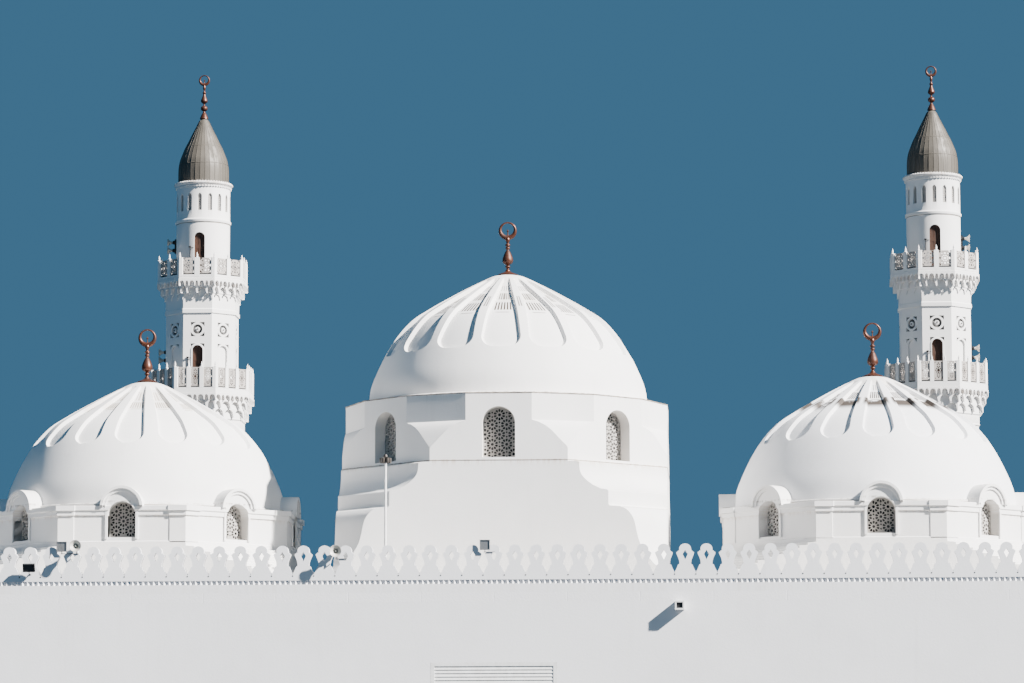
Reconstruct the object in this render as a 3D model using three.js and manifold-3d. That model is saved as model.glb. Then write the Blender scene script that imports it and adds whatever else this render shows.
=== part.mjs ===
// A mosque with three domes in a row behind its front wall, and two minarets at its rear corners.
// It is modelled at half size: sizes are metres of the real building, and the group is scaled at the end.
// X runs to the right along the front, Y runs back from the row of domes, and Z is up from the ground.
import * as THREE from "three";
import { mergeVertices } from "three/addons/utils/BufferGeometryUtils.js";
import Module from "manifold-3d";

const wasm = await Module();
wasm.setup();

// Driving dimensions
const MODEL_MM_PER_METRE = 500;
const GAP = 0.0006;

const hall = { half: 25.75, front: -10.6, rear: 67.2, wall: 0.6, wallTop: 9.6, roofTop: 10, floor: 0.15 };
const crest = { bandTop: 10.75, peak: 11.95, thick: 0.26, pitch: 0.873 };
const entrance = { width: 4.2, crown: 6.4, block: 7, depth: 1.1, top: 9.6 };
const louvre = { width: 5.2, sill: 4.4, top: 7.13, frame: 0.14, blade: 0.03, blades: 9, depth: 0.16 };

const tower = { half: 7.04, inner: 5.75, shoulderFoot: 10.9, drumFoot: 15.76, top: 18.63, seat: 6.5 };
const towerWindow = { width: 1.39, sill: 15.9, crown: 18.05 };
const side = { x: 16.056, half: 6.6, inner: 5.75, cornice: 6.71, cornerFoot: 11, drumFoot: 12.35 };
const sideDrum = { corniceFoot: 13.55, corniceTop: 13.97, seat: 14.13, seatRadius: 6.25 };
const sideWindow = { width: 0.93, sill: 12.62, crown: 14.1, hood: 0.86, hoodTop: 14.71 };
const dome = { radius: 6.15, rise: 5.82, thick: 0.4, centralFoot: 18.78, segments: 32 };
const roofWell = 5.5;

const minaret = { x: 22.55, y: 64, base: 3.2, baseTop: 13, lower: 2.49, upper: 2.125, wall: 0.35 };
const lowerBalcony = { foot: 24.12, floor: 26.48, reach: 3.06, mouth: 1.75, slab: 0.4, rail: 1.305 };
const upperBalcony = { foot: 31.7, floor: 33.4, reach: 2.64, mouth: 1.3, slab: 0.35, rail: 1.18 };
const balconyRail = { thick: 0.13, post: 0.24, point: 0.35 };
const cornerFront = minaret.y - minaret.base;
const cornerSide = minaret.x - minaret.base;
const leaf = { width: 0.62, thick: 0.06, recess: 0.16, lowerHeight: 2.7, upperHeight: 2.85 };
const turret = { radius: 1.65, wall: 0.3, ring: 1.73, ringFoot: 37.15 };
const turretCornice = { radius: 1.85, foot: 39.35, top: 39.7 };
const slots = { count: 16, width: 0.2, foot: 38, head: 39 };
const cap = { foot: 39.7, tip: 43.66, crown: 43.1, thick: 0.1 };
const baseDoor = { width: 1.1, crown: 2.6 };
const crescent = { hole: 0.66, rise: 0.17 };
const domeCrescent = { radius: 0.41, height: 1.94, thick: 0.1 };
const minaretCrescent = { radius: 0.35, height: 2.44, thick: 0.08 };
const bracket = { foot: 10.5, bar: 0.06, reach: 0.3 };
const horn = { mouth: 0.25, throat: 0.07, length: 0.42, wall: 0.02 };
const hornRow = { count: 2, pitch: 0.57, height: 1.93, bar: 0.06, reach: 0.12, length: 0.5 };
const hornPlaces = { left: [-17.23, 11.95], centre: [-6.47, 11.68] };
const panelLight = { size: 0.42, thick: 0.1 };
const panelLightPlaces = { left: [-17.88, 11.95], centre: [-0.36, 11.93] };
const floodlight = { x: -19.2, z: 11.1, width: 0.5, height: 0.34, thick: 0.14 };
const wallLamp = { x: 7.62, z: 9.4, radius: 0.18, length: 0.4, wall: 0.02, base: 0.1 };
const wallLampArm = { reach: 0.3, tilt: 35 };
const pole = { x: -4.7, y: -8, radius: 0.06, lampFoot: 15.5, lampTop: 15.95, lampRadius: 0.26 };

const white = new THREE.MeshStandardMaterial({ color: 0xe9e8e4, roughness: 0.85 });
const shade = new THREE.MeshStandardMaterial({ color: 0xd8d6cf, roughness: 0.9 });
const copper = new THREE.MeshStandardMaterial({ color: 0x9a5a3c, roughness: 0.45, metalness: 0.8 });
const sheetMetal = new THREE.MeshStandardMaterial({ color: 0x8d8f85, roughness: 0.5, metalness: 0.6 });
const timber = new THREE.MeshStandardMaterial({ color: 0x5b3a26, roughness: 0.7 });
const greyMetal = new THREE.MeshStandardMaterial({ color: 0x8a8f94, roughness: 0.5, metalness: 0.5 });

// Solids from three.js geometry
function solid(geometry) {
  const bare = geometry.clone();
  bare.deleteAttribute("normal");
  bare.deleteAttribute("uv");
  const merged = mergeVertices(bare, 1e-5);
  return new wasm.Manifold(
    new wasm.Mesh({
      numProp: 3,
      vertProperties: merged.attributes.position.array,
      triVerts: new Uint32Array(merged.index.array),
    }),
  );
}

function geometryOf(body) {
  const mesh = body.getMesh();
  const geometry = new THREE.BufferGeometry();
  geometry.setAttribute("position", new THREE.BufferAttribute(mesh.vertProperties, mesh.numProp));
  geometry.setIndex(new THREE.BufferAttribute(mesh.triVerts, 1));
  geometry.computeVertexNormals();
  return geometry;
}

function block(x0, x1, y0, y1, z0, z1) {
  const geometry = new THREE.BoxGeometry(x1 - x0, y1 - y0, z1 - z0);
  return solid(geometry.translate((x0 + x1) / 2, (y0 + y1) / 2, (z0 + z1) / 2));
}

// An upright prism with a flat side to the front; a regular one is given by the distance of its sides.
function prism(sides, inradius, z0, z1) {
  const corner = inradius / Math.cos(Math.PI / sides);
  const height = z1 - z0;
  const geometry = new THREE.CylinderGeometry(corner, corner, height, sides, 1, false, Math.PI / sides);
  return solid(geometry.rotateX(Math.PI / 2).translate(0, 0, (z0 + z1) / 2));
}

// A closed profile of [radius, height] points turned about the Z axis. With few segments its flat sides
// lie at the profile's radius, and the first side is centred half a segment round from the front.
function turned(profile, segments, flatSided = false, phase = 0) {
  const stretch = flatSided ? 1 / Math.cos(Math.PI / segments) : 1;
  const points = profile.map(([r, z]) => new THREE.Vector2(r * stretch, z));
  const geometry = new THREE.LatheGeometry(points, segments, phase);
  return solid(geometry.rotateX(Math.PI / 2));
}

// A shape drawn in X and Z, run back from y0 to y1.
function runBack(shape, y0, y1, curveSegments = 4) {
  const depth = y1 - y0;
  const geometry = new THREE.ExtrudeGeometry(shape, { depth, bevelEnabled: false, curveSegments });
  return solid(geometry.rotateX(Math.PI / 2).translate(0, y1, 0));
}

function archShape(width, foot, crown) {
  const half = width / 2;
  const shape = new THREE.Shape();
  shape.moveTo(-half, foot);
  shape.lineTo(half, foot);
  shape.lineTo(half, crown - half);
  shape.absarc(0, crown - half, half, 0, Math.PI, false);
  shape.lineTo(-half, foot);
  return shape;
}

// A body repeated about the Z axis, joined into one.
function around(body, count, startDegrees = 0) {
  const step = 360 / count;
  const copies = Array.from({ length: count }, (_, i) => body.rotate([0, 0, startDegrees + step * i]));
  return wasm.Manifold.union(copies);
}

function piece(parent, name, body, material) {
  const mesh = new THREE.Mesh(geometryOf(body), material);
  mesh.name = name;
  parent.add(mesh);
}

// Hall: walls, floor and roof
function buildHall(parent) {
  const { half, front, rear, wall, wallTop, roofTop, floor } = hall;
  const louvreHalf = louvre.width / 2;
  const opening = block(-louvreHalf, louvreHalf, front - 1, front + 1, louvre.sill, louvre.top);
  const frontWall = block(-half, half, front, front + wall, 0, wallTop).subtract(opening);
  piece(parent, "front_wall", frontWall, white);
  const sideRun = [front + wall + GAP, cornerFront - GAP];
  piece(parent, "left_wall", block(-half, -half + wall, ...sideRun, 0, wallTop), white);
  piece(parent, "right_wall", block(half - wall, half, ...sideRun, 0, wallTop), white);

  const blockHalf = entrance.block / 2;
  const rearRun = [blockHalf + GAP, cornerSide - GAP];
  piece(parent, "rear_wall_left", block(-rearRun[1], -rearRun[0], rear - wall, rear, 0, wallTop), white);
  piece(parent, "rear_wall_right", block(...rearRun, rear - wall, rear, 0, wallTop), white);
  const spring = entrance.crown - entrance.width / 2;
  const jamb = entrance.width / 2;
  const across = [rear - entrance.depth, rear];
  piece(parent, "rear_entrance_left_pier", block(-blockHalf, -jamb, ...across, 0, spring), white);
  piece(parent, "rear_entrance_right_pier", block(jamb, blockHalf, ...across, 0, spring), white);
  const arch = runBack(archShape(entrance.width, spring - 1, entrance.crown), rear - 2, rear + 1, 12);
  const head = block(-blockHalf, blockHalf, ...across, spring + GAP, entrance.top).subtract(arch);
  piece(parent, "rear_entrance_arch", head, white);

  const inside = half - wall - GAP;
  const portalNotch = block(-blockHalf - GAP, blockHalf + GAP, rear - entrance.depth - GAP, rear, -1, 1);
  const leftNotch = block(-half - 1, -cornerSide + GAP, cornerFront - GAP, rear + 1, -1, 20);
  const rightNotch = block(cornerSide - GAP, half + 1, cornerFront - GAP, rear + 1, -1, 20);
  const floorBody = block(-inside, inside, front + wall + GAP, rear - wall - GAP, 0, floor);
  const floorSlab = floorBody.subtract(portalNotch).subtract(leftNotch).subtract(rightNotch);
  piece(parent, "floor_slab", floorSlab, shade);

  const shaft = prism(8, roofWell, wallTop - 1, roofTop + 1);
  const wells = [-side.x, 0, side.x].map((x) => shaft.translate(x, 0, 0));
  const roofBody = block(-half, half, front, rear, wallTop + GAP, roofTop);
  const roof = [...wells, leftNotch, rightNotch].reduce((body, cut) => body.subtract(cut), roofBody);
  piece(parent, "roof_slab", roof, shade);
  buildLouvre(parent);
}

// A framed panel of sloping blades that fills the vent opening in the front wall.
function buildLouvre(parent) {
  const { width, sill, top, frame, blade, blades, depth } = louvre;
  const half = width / 2 - GAP;
  const y0 = hall.front + 0.02;
  const y1 = y0 + depth;
  const outer = block(-half, half, y0, y1, sill + GAP, top - GAP);
  const inner = block(-half + frame, half - frame, y0 - 1, y1 + 1, sill + frame, top - frame);
  const pitch = (top - sill - 2 * frame) / blades;
  const slats = Array.from({ length: blades }, (_, i) => {
    const geometry = new THREE.BoxGeometry(2 * half - frame, depth * 1.05, blade);
    geometry.rotateX(Math.PI / 4);
    return solid(geometry.translate(0, (y0 + y1) / 2, sill + frame + (i + 0.5) * pitch));
  });
  piece(parent, "front_louvre", wasm.Manifold.union([outer.subtract(inner), ...slats]), white);
}

// Parapet: a plain band with a row of merlons on it
function crestRun(length, y0) {
  const count = Math.round(length / crest.pitch);
  const pitch = length / count;
  const shape = new THREE.Shape();
  shape.moveTo(-length / 2, hall.roofTop + GAP);
  shape.lineTo(length / 2, hall.roofTop + GAP);
  for (let i = 0; i < count; i++) {
    const x = length / 2 - (i + 0.5) * pitch;
    shape.lineTo(x + pitch * 0.4, crest.bandTop);
    shape.lineTo(x + pitch * 0.3, crest.peak);
    shape.lineTo(x - pitch * 0.3, crest.peak);
    shape.lineTo(x - pitch * 0.4, crest.bandTop);
  }
  shape.lineTo(-length / 2, crest.bandTop);
  return runBack(shape, y0, y0 + crest.thick, 1);
}

function buildParapets(parent) {
  const foremost = hall.front + crest.thick + GAP;
  const along = cornerFront - GAP - foremost;
  const middle = foremost + along / 2;
  piece(parent, "front_parapet", crestRun(2 * hall.half, hall.front), white);
  piece(parent, "rear_parapet", crestRun(2 * (cornerSide - GAP), hall.rear - crest.thick), white);
  const sideways = crestRun(along, -crest.thick / 2).rotate([0, 0, 90]);
  const x = hall.half - crest.thick / 2;
  piece(parent, "left_parapet", sideways.translate(-x, middle, 0), white);
  piece(parent, "right_parapet", sideways.translate(x, middle, 0), white);
}

// Central tower: a square base that steps in to an octagon, then an octagonal drum with a sixteen-sided top.
// Each outline gives the front face's half-width at a height, and the faces between are cut to match.
function steppedSquare(half, z0, z1, outline) {
  const cut = outline.map(([w, z]) => [(w + half) / Math.SQRT2, z]);
  const profile = [[0, z0], ...cut, [0, z1]];
  return prism(4, half, z0, z1).intersect(turned(profile, 4, true));
}

function steppedOctagon(half, z0, z1, outline) {
  const turn = Math.PI / 8;
  const cut = outline.map(([w, z]) => [w * Math.sin(turn) + half * Math.cos(turn), z]);
  const profile = [[0, z0], ...cut, [0, z1]];
  return prism(8, half, z0, z1).intersect(turned(profile, 8, true));
}

function sixteenSided(radius, z0, z1) {
  return turned([[0, z0], [radius, z0], [radius, z1], [0, z1]], 16);
}

// Arched cutters through the eight faces of a drum, deep enough to reach its well.
function windowCutters(half, { width, sill, crown }) {
  const depth = 3;
  return around(runBack(archShape(width, sill, crown), -half - 1, -half + depth), 8);
}

function buildTower(parent) {
  const { half, inner, shoulderFoot, drumFoot, top } = tower;
  const foot = hall.roofTop + GAP;
  const corner = half * Math.tan(Math.PI / 8);
  const sixteenth = half * Math.tan(Math.PI / 16);
  const baseOutline = [
    [half, foot],
    [half, shoulderFoot],
    [6.07, 11.99],
    [5.76, 12.91],
    [5.5, 13.53],
    [5.25, 13.78],
    [4.6, 13.88],
    [4.6, 14.47],
    [4.09, 14.63],
    [3.58, 15.01],
    [3.4, 15.31],
    [3.4, 15.66],
    [corner, 15.7],
    [corner, drumFoot],
  ];
  const base = steppedSquare(half, foot, drumFoot, baseOutline);
  piece(parent, "central_base", base.subtract(sixteenSided(inner, foot - 1, drumFoot + 1)), white);

  const drumOutline = [
    [corner, drumFoot + GAP],
    [corner, 16.3],
    [2.55, 16.75],
    [2.0, 17.2],
    [sixteenth, 17.5],
    [sixteenth, top],
  ];
  const seat = sixteenSided(tower.seat, top - 0.5, dome.centralFoot);
  const shaft = steppedOctagon(half, drumFoot + GAP, top, drumOutline).add(seat);
  const hollow = shaft.subtract(sixteenSided(inner, drumFoot - 1, top + 1));
  piece(parent, "central_drum", hollow.subtract(windowCutters(half, towerWindow)), white);
}

// Domes: a thin shell of slightly pointed outline, thinner towards the top
function domeShell(foot) {
  const { radius, rise, thick, segments } = dome;
  const outline = [
    [1, 0],
    [0.951, 0.218],
    [0.876, 0.385],
    [0.771, 0.55],
    [0.579, 0.722],
    [0.368, 0.85],
    [0.132, 0.978],
  ];
  const outer = outline.map(([r, z]) => [r * radius, foot + z * rise]);
  const innerScale = (radius - thick) / radius;
  const sparse = outline.filter((_, i) => i % 2 === 0);
  const inner = sparse.map(([r, z]) => [r * radius * innerScale, foot + z * (rise - thick)]);
  const top = foot + rise;
  return turned([...outer, [0, top], [0, top - thick], ...inner.reverse(), outer[0]], segments);
}

// Finials: a spun metal stem with a flared foot and a vase, carrying a ring-shaped crescent
function finial(outline, foot, { radius, height, thick }) {
  const profile = outline.map(([r, z]) => [r, foot + z]);
  const stem = turned([[0, profile[0][1]], ...profile, [0, profile.at(-1)[1]]], 8);
  const shape = new THREE.Shape();
  shape.absarc(0, foot + height, radius, 0, 2 * Math.PI, false);
  const hole = new THREE.Path();
  hole.absarc(0, foot + height + crescent.rise * radius, crescent.hole * radius, 0, 2 * Math.PI, true);
  shape.holes.push(hole);
  return stem.add(runBack(shape, -thick / 2, thick / 2, 7));
}

function domeFinial(foot) {
  const outline = [
    [0.49, 0],
    [0.46, 0.12],
    [0.2, 0.38],
    [0.1, 0.5],
    [0.13, 0.56],
    [0.245, 0.68],
    [0.17, 0.86],
    [0.07, 1.02],
    [0.13, 1.1],
    [0.07, 1.18],
    [0.12, 1.28],
    [0.05, 1.42],
    [0.05, 1.6],
  ];
  return finial(outline, foot, domeCrescent);
}

function buildSideDrum(parent, name) {
  const { half, inner, cornice, cornerFoot, drumFoot } = side;
  const { corniceFoot, corniceTop, seat, seatRadius } = sideDrum;
  const foot = hall.roofTop + GAP;
  const corner = half * Math.tan(Math.PI / 8);
  const outline = [
    [half, foot],
    [half, cornerFoot],
    [corner, drumFoot],
    [corner, corniceFoot + 0.1],
  ];
  const body = steppedSquare(half, foot, corniceFoot + 0.1, outline);
  const ledge = prism(8, cornice, corniceFoot, corniceTop);
  const ring = sixteenSided(seatRadius, corniceFoot, seat);
  const hoodShape = archShape(2 * sideWindow.hood, drumFoot, sideWindow.hoodTop);
  const hood = runBack(hoodShape, -cornice - 0.05, -dome.radius - 2 * GAP);
  const hoods = around(hood, 8);
  const clearDome = sixteenSided(seatRadius - 0.05, seat, sideWindow.hoodTop + 1);
  const mass = wasm.Manifold.union([body, ledge, ring]).add(hoods.subtract(clearDome));
  const hollow = mass.subtract(sixteenSided(inner, foot - 1, seat + 1));
  piece(parent, name + "_drum", hollow.subtract(windowCutters(half, sideWindow)), white);
}

function buildDomes(parent) {
  buildTower(parent);
  piece(parent, "central_dome", domeShell(dome.centralFoot + GAP), white);
  piece(parent, "central_finial", domeFinial(dome.centralFoot + dome.rise + 2 * GAP), copper);
  for (const [name, sign] of [["left", -1], ["right", 1]]) {
    const group = new THREE.Group();
    group.position.x = sign * side.x;
    buildSideDrum(group, name);
    piece(group, name + "_dome", domeShell(sideDrum.seat + GAP), white);
    piece(group, name + "_finial", domeFinial(sideDrum.seat + dome.rise + 2 * GAP), copper);
    parent.add(group);
  }
}

// Minarets
function shaftShell(inradius, z0, z1) {
  return prism(8, inradius, z0, z1).subtract(prism(8, inradius - minaret.wall, z0 - 1, z1 + 1));
}

// A stepped corbel under a floor that reaches out past the shaft, open in the middle for the stair.
function corbelled(shaft, balcony) {
  const { foot, floor, mouth, slab } = balcony;
  const rise = floor - foot;
  const reach = balcony.reach - shaft;
  const inner = shaft - minaret.wall;
  const steps = [
    [0, 0],
    [0.16, 0.08],
    [0.2, 0.3],
    [0.45, 0.36],
    [0.5, 0.58],
    [0.78, 0.64],
    [0.84, 0.8],
    [1, 0.82],
    [1, 1],
  ];
  const outer = steps.map(([r, z]) => [shaft + reach * r, foot + rise * z]);
  const hole = [[mouth, floor], [mouth, floor - slab], [inner, floor - slab], [inner, foot]];
  const profile = [[inner, foot], ...outer, ...hole];
  return turned(profile, 8, true, Math.PI / 8);
}

function railing(balcony) {
  const { reach, floor } = balcony;
  const foot = floor + GAP;
  const railTop = floor + balcony.rail;
  const inside = prism(8, reach - balconyRail.thick, foot - 1, railTop + 1);
  const ring = prism(8, reach, foot, railTop).subtract(inside);
  const cornerRadius = reach / Math.cos(Math.PI / 8) - 0.4 * balconyRail.post;
  const half = balconyRail.post / 2;
  const tip = balconyRail.point - 0.1;
  const post = block(-half, half, -half, half, foot, railTop + 0.1);
  const point = new THREE.ConeGeometry(half * Math.SQRT2, tip, 4, 1, false, Math.PI / 4);
  const pointed = post.add(solid(point.rotateX(Math.PI / 2).translate(0, 0, railTop + 0.1 + tip / 2)));
  return ring.add(around(pointed.translate(0, -cornerRadius, 0), 8, 22.5));
}

function doorway(face, floor, height) {
  return runBack(archShape(leaf.width, floor, floor + height), -face - 1, -face + minaret.wall + 0.3);
}

function doorLeaf(face, floor, height) {
  const y = -face + leaf.recess;
  return runBack(archShape(leaf.width - 2 * GAP, floor + GAP, floor + height - GAP), y, y + leaf.thick);
}

function buildMinaret(parent, label, sign) {
  const group = new THREE.Group();
  group.position.set(sign * minaret.x, minaret.y, 0);
  parent.add(group);
  const name = label + "_minaret_";
  const { base, baseTop, lower, upper, wall } = minaret;
  const { radius, ring, ringFoot } = turret;
  const hollow = radius - turret.wall;

  const stairWell = prism(8, lower - wall, -1, baseTop + 1);
  const wayIn = runBack(archShape(baseDoor.width, hall.floor, baseDoor.crown), -base - 1, 0);
  const baseShell = block(-base, base, -base, base, 0, baseTop).subtract(stairWell).subtract(wayIn);
  piece(group, name + "base", baseShell, white);

  const lowerTop = lowerBalcony.floor;
  const lowerShell = shaftShell(lower, baseTop + GAP, lowerBalcony.foot + 0.02);
  piece(group, name + "lower_shaft", lowerShell.add(corbelled(lower, lowerBalcony)), white);
  piece(group, name + "lower_railing", railing(lowerBalcony), white);

  const upperFoot = lowerTop + GAP;
  const upperShell = shaftShell(upper, upperFoot, upperBalcony.foot + 0.02);
  const upperBody = upperShell.add(corbelled(upper, upperBalcony));
  const lowerDoorway = doorway(upper, upperFoot + 0.05, leaf.lowerHeight);
  piece(group, name + "upper_shaft", upperBody.subtract(lowerDoorway), white);
  piece(group, name + "lower_door", doorLeaf(upper, upperFoot + 0.05, leaf.lowerHeight), timber);
  piece(group, name + "upper_railing", railing(upperBalcony), white);

  const turretFoot = upperBalcony.floor + GAP;
  const slotShape = archShape(slots.width, slots.foot, slots.head);
  const slot = runBack(slotShape, -radius - 1, -radius + turret.wall + 0.2, 2);
  const body = turned(
    [
      [hollow, turretFoot],
      [radius, turretFoot],
      [radius, ringFoot],
      [ring, ringFoot + 0.08],
      [ring, ringFoot + 0.16],
      [radius, ringFoot + 0.24],
      [radius, turretCornice.foot],
      [turretCornice.radius, turretCornice.foot + 0.12],
      [turretCornice.radius, turretCornice.top],
      [hollow, turretCornice.top],
      [hollow, turretFoot],
    ],
    16,
    true,
    Math.PI / 16,
  );
  const upperDoorway = doorway(radius, turretFoot + 0.05, leaf.upperHeight);
  piece(group, name + "turret", body.subtract(around(slot, slots.count)).subtract(upperDoorway), white);
  piece(group, name + "upper_door", doorLeaf(radius, turretFoot + 0.05, leaf.upperHeight), timber);

  buildMinaretHorns(group, name + "upper_horns", sign, radius, turretFoot);
  buildMinaretHorns(group, name + "lower_horns", sign, upper, upperFoot);
  piece(group, name + "cap", capShell(), sheetMetal);
  piece(group, name + "finial", minaretFinial(cap.tip + 2 * GAP), copper);
}

// A bell-shaped cap of sheet metal, open underneath.
function capShell() {
  const foot = cap.foot + GAP;
  const outline = [
    [1.56, 0],
    [1.52, 0.95],
    [1.35, 1.6],
    [1, 2.35],
    [0.67, 3.05],
    [0.3, 3.86],
  ];
  const outer = outline.map(([r, z]) => [r, foot + z]);
  const inner = outline.slice(0, -1).map(([r, z]) => [r - cap.thick * 1.6, foot + z]);
  return turned([...outer, [0, cap.tip], [0, cap.crown], ...inner.reverse(), outer[0]], 16);
}

function minaretFinial(foot) {
  const outline = [
    [0.27, 0],
    [0.16, 0.3],
    [0.08, 0.45],
    [0.21, 0.65],
    [0.08, 0.86],
    [0.08, 1],
    [0.21, 1.2],
    [0.14, 1.42],
    [0.06, 1.6],
    [0.11, 1.72],
    [0.05, 1.86],
    [0.05, 2.2],
  ];
  return finial(outline, foot, minaretCrescent);
}

// Lights and horn speakers
function hornBody(length) {
  const { mouth, throat, wall } = horn;
  const profile = [
    [0, 0],
    [throat, 0],
    [throat, 0.4 * length],
    [0.5 * mouth, 0.75 * length],
    [mouth, length],
    [mouth - wall, length],
    [0.5 * mouth - wall, 0.75 * length],
    [throat - wall, 0.45 * length],
    [0, 0.45 * length],
  ];
  return turned(profile, 12).rotate([90, 0, 0]);
}

// An arm on the band of the front parapet, with an upright that carries a light or a horn.
function onBracket([x, z], head) {
  const { foot, bar, reach } = bracket;
  const y = hall.front - reach;
  const arm = block(x - bar / 2, x + bar / 2, y, hall.front - GAP, foot, foot + bar);
  const upright = block(x - bar / 2, x + bar / 2, y, y + bar, foot, z);
  return wasm.Manifold.union([arm, upright, head.translate(x, y, z)]);
}

function buildFrontFittings(parent) {
  const { size, thick } = panelLight;
  const panel = block(-size / 2, size / 2, -thick, 0.02, -size / 2, size / 2);
  piece(parent, "left_panel_light", onBracket(panelLightPlaces.left, panel), greyMetal);
  piece(parent, "centre_panel_light", onBracket(panelLightPlaces.centre, panel), greyMetal);
  const mouthed = hornBody(horn.length).translate(0, 0.04, 0);
  piece(parent, "left_horn", onBracket(hornPlaces.left, mouthed), shade);
  piece(parent, "centre_horn", onBracket(hornPlaces.centre, mouthed), shade);

  const { width, height } = floodlight;
  const lamp = block(-width / 2, width / 2, -floodlight.thick, 0, -height / 2, height / 2);
  const tilted = lamp.rotate([20, 0, 0]);
  piece(parent, "left_floodlight", onBracket([floodlight.x, floodlight.z], tilted), greyMetal);

  const { radius, length, base } = wallLamp;
  const { reach, tilt } = wallLampArm;
  const body = turned([[0, 0], [radius, 0], [radius, length], [0, length]], 16);
  const mouth = radius - wallLamp.wall;
  const cup = body.subtract(turned([[0, base], [mouth, base], [mouth, length + 1], [0, length + 1]], 16));
  const aimed = cup.translate(0, 0, -base).rotate([90 + tilt, 0, 0]);
  const stub = block(-0.04, 0.04, -0.02, reach - GAP, -0.04, 0.04);
  const onWall = [wallLamp.x, hall.front - reach, wallLamp.z];
  piece(parent, "wall_lamp", aimed.add(stub).translate(onWall), white);

  const foot = hall.roofTop + GAP;
  const mast = prism(8, pole.radius, foot, pole.lampTop);
  const plate = prism(8, 0.16, foot, foot + 0.04);
  const head = prism(8, pole.lampRadius, pole.lampFoot, pole.lampTop);
  const lampPole = wasm.Manifold.union([mast, plate, head]);
  piece(parent, "lamp_pole", lampPole.translate(pole.x, pole.y, 0), greyMetal);
}

// A row of horns on an upright bar, fixed to the outer side of a minaret and facing away from the hall.
function buildMinaretHorns(group, name, sign, face, floor) {
  const { count, pitch, height, reach, length } = hornRow;
  const half = hornRow.bar / 2;
  const z = floor + height;
  const bar = block(-half, half, -reach, -GAP, z - 0.2, z + (count - 1) * pitch + 0.2);
  const heads = Array.from({ length: count }, (_, i) => hornBody(length).translate(0, -0.08, z + i * pitch));
  const body = wasm.Manifold.union([bar, ...heads]).translate(0, -face, 0);
  piece(group, name, body.rotate([0, 0, sign * 90]), greyMetal);
}

const mosque = new THREE.Group();
buildHall(mosque);
buildParapets(mosque);
buildDomes(mosque);
buildMinaret(mosque, "left", -1);
buildMinaret(mosque, "right", 1);
buildFrontFittings(mosque);

// The origin is under the middle of the building, on the ground.
const extent = new THREE.Box3().setFromObject(mosque);
const centre = extent.getCenter(new THREE.Vector3());
mosque.scale.setScalar(MODEL_MM_PER_METRE);
mosque.position.set(-centre.x, -centre.y, -extent.min.z).multiplyScalar(MODEL_MM_PER_METRE);

export default mosque;
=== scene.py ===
# A white mosque at half size: three fluted domes, a pierced parapet and two minarets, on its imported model.
# Sizes in the dictionaries are metres of the real building, from the middle of the dome row.
import math
import bmesh
import bpy
import numpy as np
from mathutils import Euler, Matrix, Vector
from mathutils.geometry import tessellate_polygon


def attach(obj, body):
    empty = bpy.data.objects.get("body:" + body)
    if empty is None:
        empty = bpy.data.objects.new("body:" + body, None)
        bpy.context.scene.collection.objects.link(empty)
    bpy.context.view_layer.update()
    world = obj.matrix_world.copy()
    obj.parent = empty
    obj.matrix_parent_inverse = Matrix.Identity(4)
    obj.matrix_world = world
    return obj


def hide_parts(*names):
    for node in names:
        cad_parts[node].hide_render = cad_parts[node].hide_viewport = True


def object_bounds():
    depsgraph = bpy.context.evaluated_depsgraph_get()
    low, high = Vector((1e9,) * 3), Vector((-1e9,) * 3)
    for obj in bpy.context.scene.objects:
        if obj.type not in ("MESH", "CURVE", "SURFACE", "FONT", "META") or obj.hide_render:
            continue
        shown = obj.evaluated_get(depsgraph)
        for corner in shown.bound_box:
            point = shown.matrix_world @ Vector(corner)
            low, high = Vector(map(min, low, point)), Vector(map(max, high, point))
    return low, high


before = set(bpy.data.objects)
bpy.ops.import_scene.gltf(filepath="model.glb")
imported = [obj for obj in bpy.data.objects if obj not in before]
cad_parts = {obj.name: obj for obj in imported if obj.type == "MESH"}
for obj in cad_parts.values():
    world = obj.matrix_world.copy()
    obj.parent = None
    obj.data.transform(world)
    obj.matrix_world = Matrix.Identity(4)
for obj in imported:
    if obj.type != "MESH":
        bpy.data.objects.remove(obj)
cadBox = [list(corner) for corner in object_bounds()]

building = {"scale": 0.5, "half": 25.75, "front": -10.6, "rear": 67.2}
gap = 0.0006  # between pieces that touch
middleDepth = building["rear"] - cadBox[1][1] / building["scale"]
eighth = math.tan(math.pi / 8)


def modelPoints(points):
    return (np.asarray(points, float) - (0.0, middleDepth, 0.0)) * building["scale"]


# Camera, lights and floor
cameraSettings = {
    "place": (9.242, -163.344, 1.529), "turnLeft": 3.175, "tiltUp": 7.012, "roll": -0.109,
    "lens": 131.04, "sensor": 36.0, "farthest": 2000.0,
}
lightSettings = {
    "key": {"strength": 24.0, "spread": 1.5, "colour": (1.0, 0.965, 0.93), "from": (0.80, -0.36, 0.62)},
    "fill": {"strength": 0.05, "spread": 60.0, "colour": (0.80, 0.89, 1.0), "from": (-0.55, -0.75, 0.5)},
    "room": {"strength": 1.0, "colour": (0.055, 0.155, 0.27)},
}
floorSettings = {
    "reach": 52.0, "sides": 96, "level": -0.02, "tints": ((0.13, 0.13, 0.13), (0.115, 0.115, 0.115)),
}


def placeCamera():
    s = cameraSettings
    lens = bpy.data.cameras.new("camera")
    lens.lens, lens.sensor_width, lens.clip_end = s["lens"], s["sensor"], s["farthest"]
    camera = bpy.data.objects.new("camera", lens)
    bpy.context.collection.objects.link(camera)
    camera.location = modelPoints(s["place"])
    aim = Euler((math.radians(90 + s["tiltUp"]), 0, math.radians(s["turnLeft"])), "XYZ").to_matrix()
    roll = Euler((0, 0, math.radians(s["roll"])), "XYZ").to_matrix()
    camera.rotation_euler = (aim @ roll).to_euler()
    bpy.context.scene.camera = camera


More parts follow.
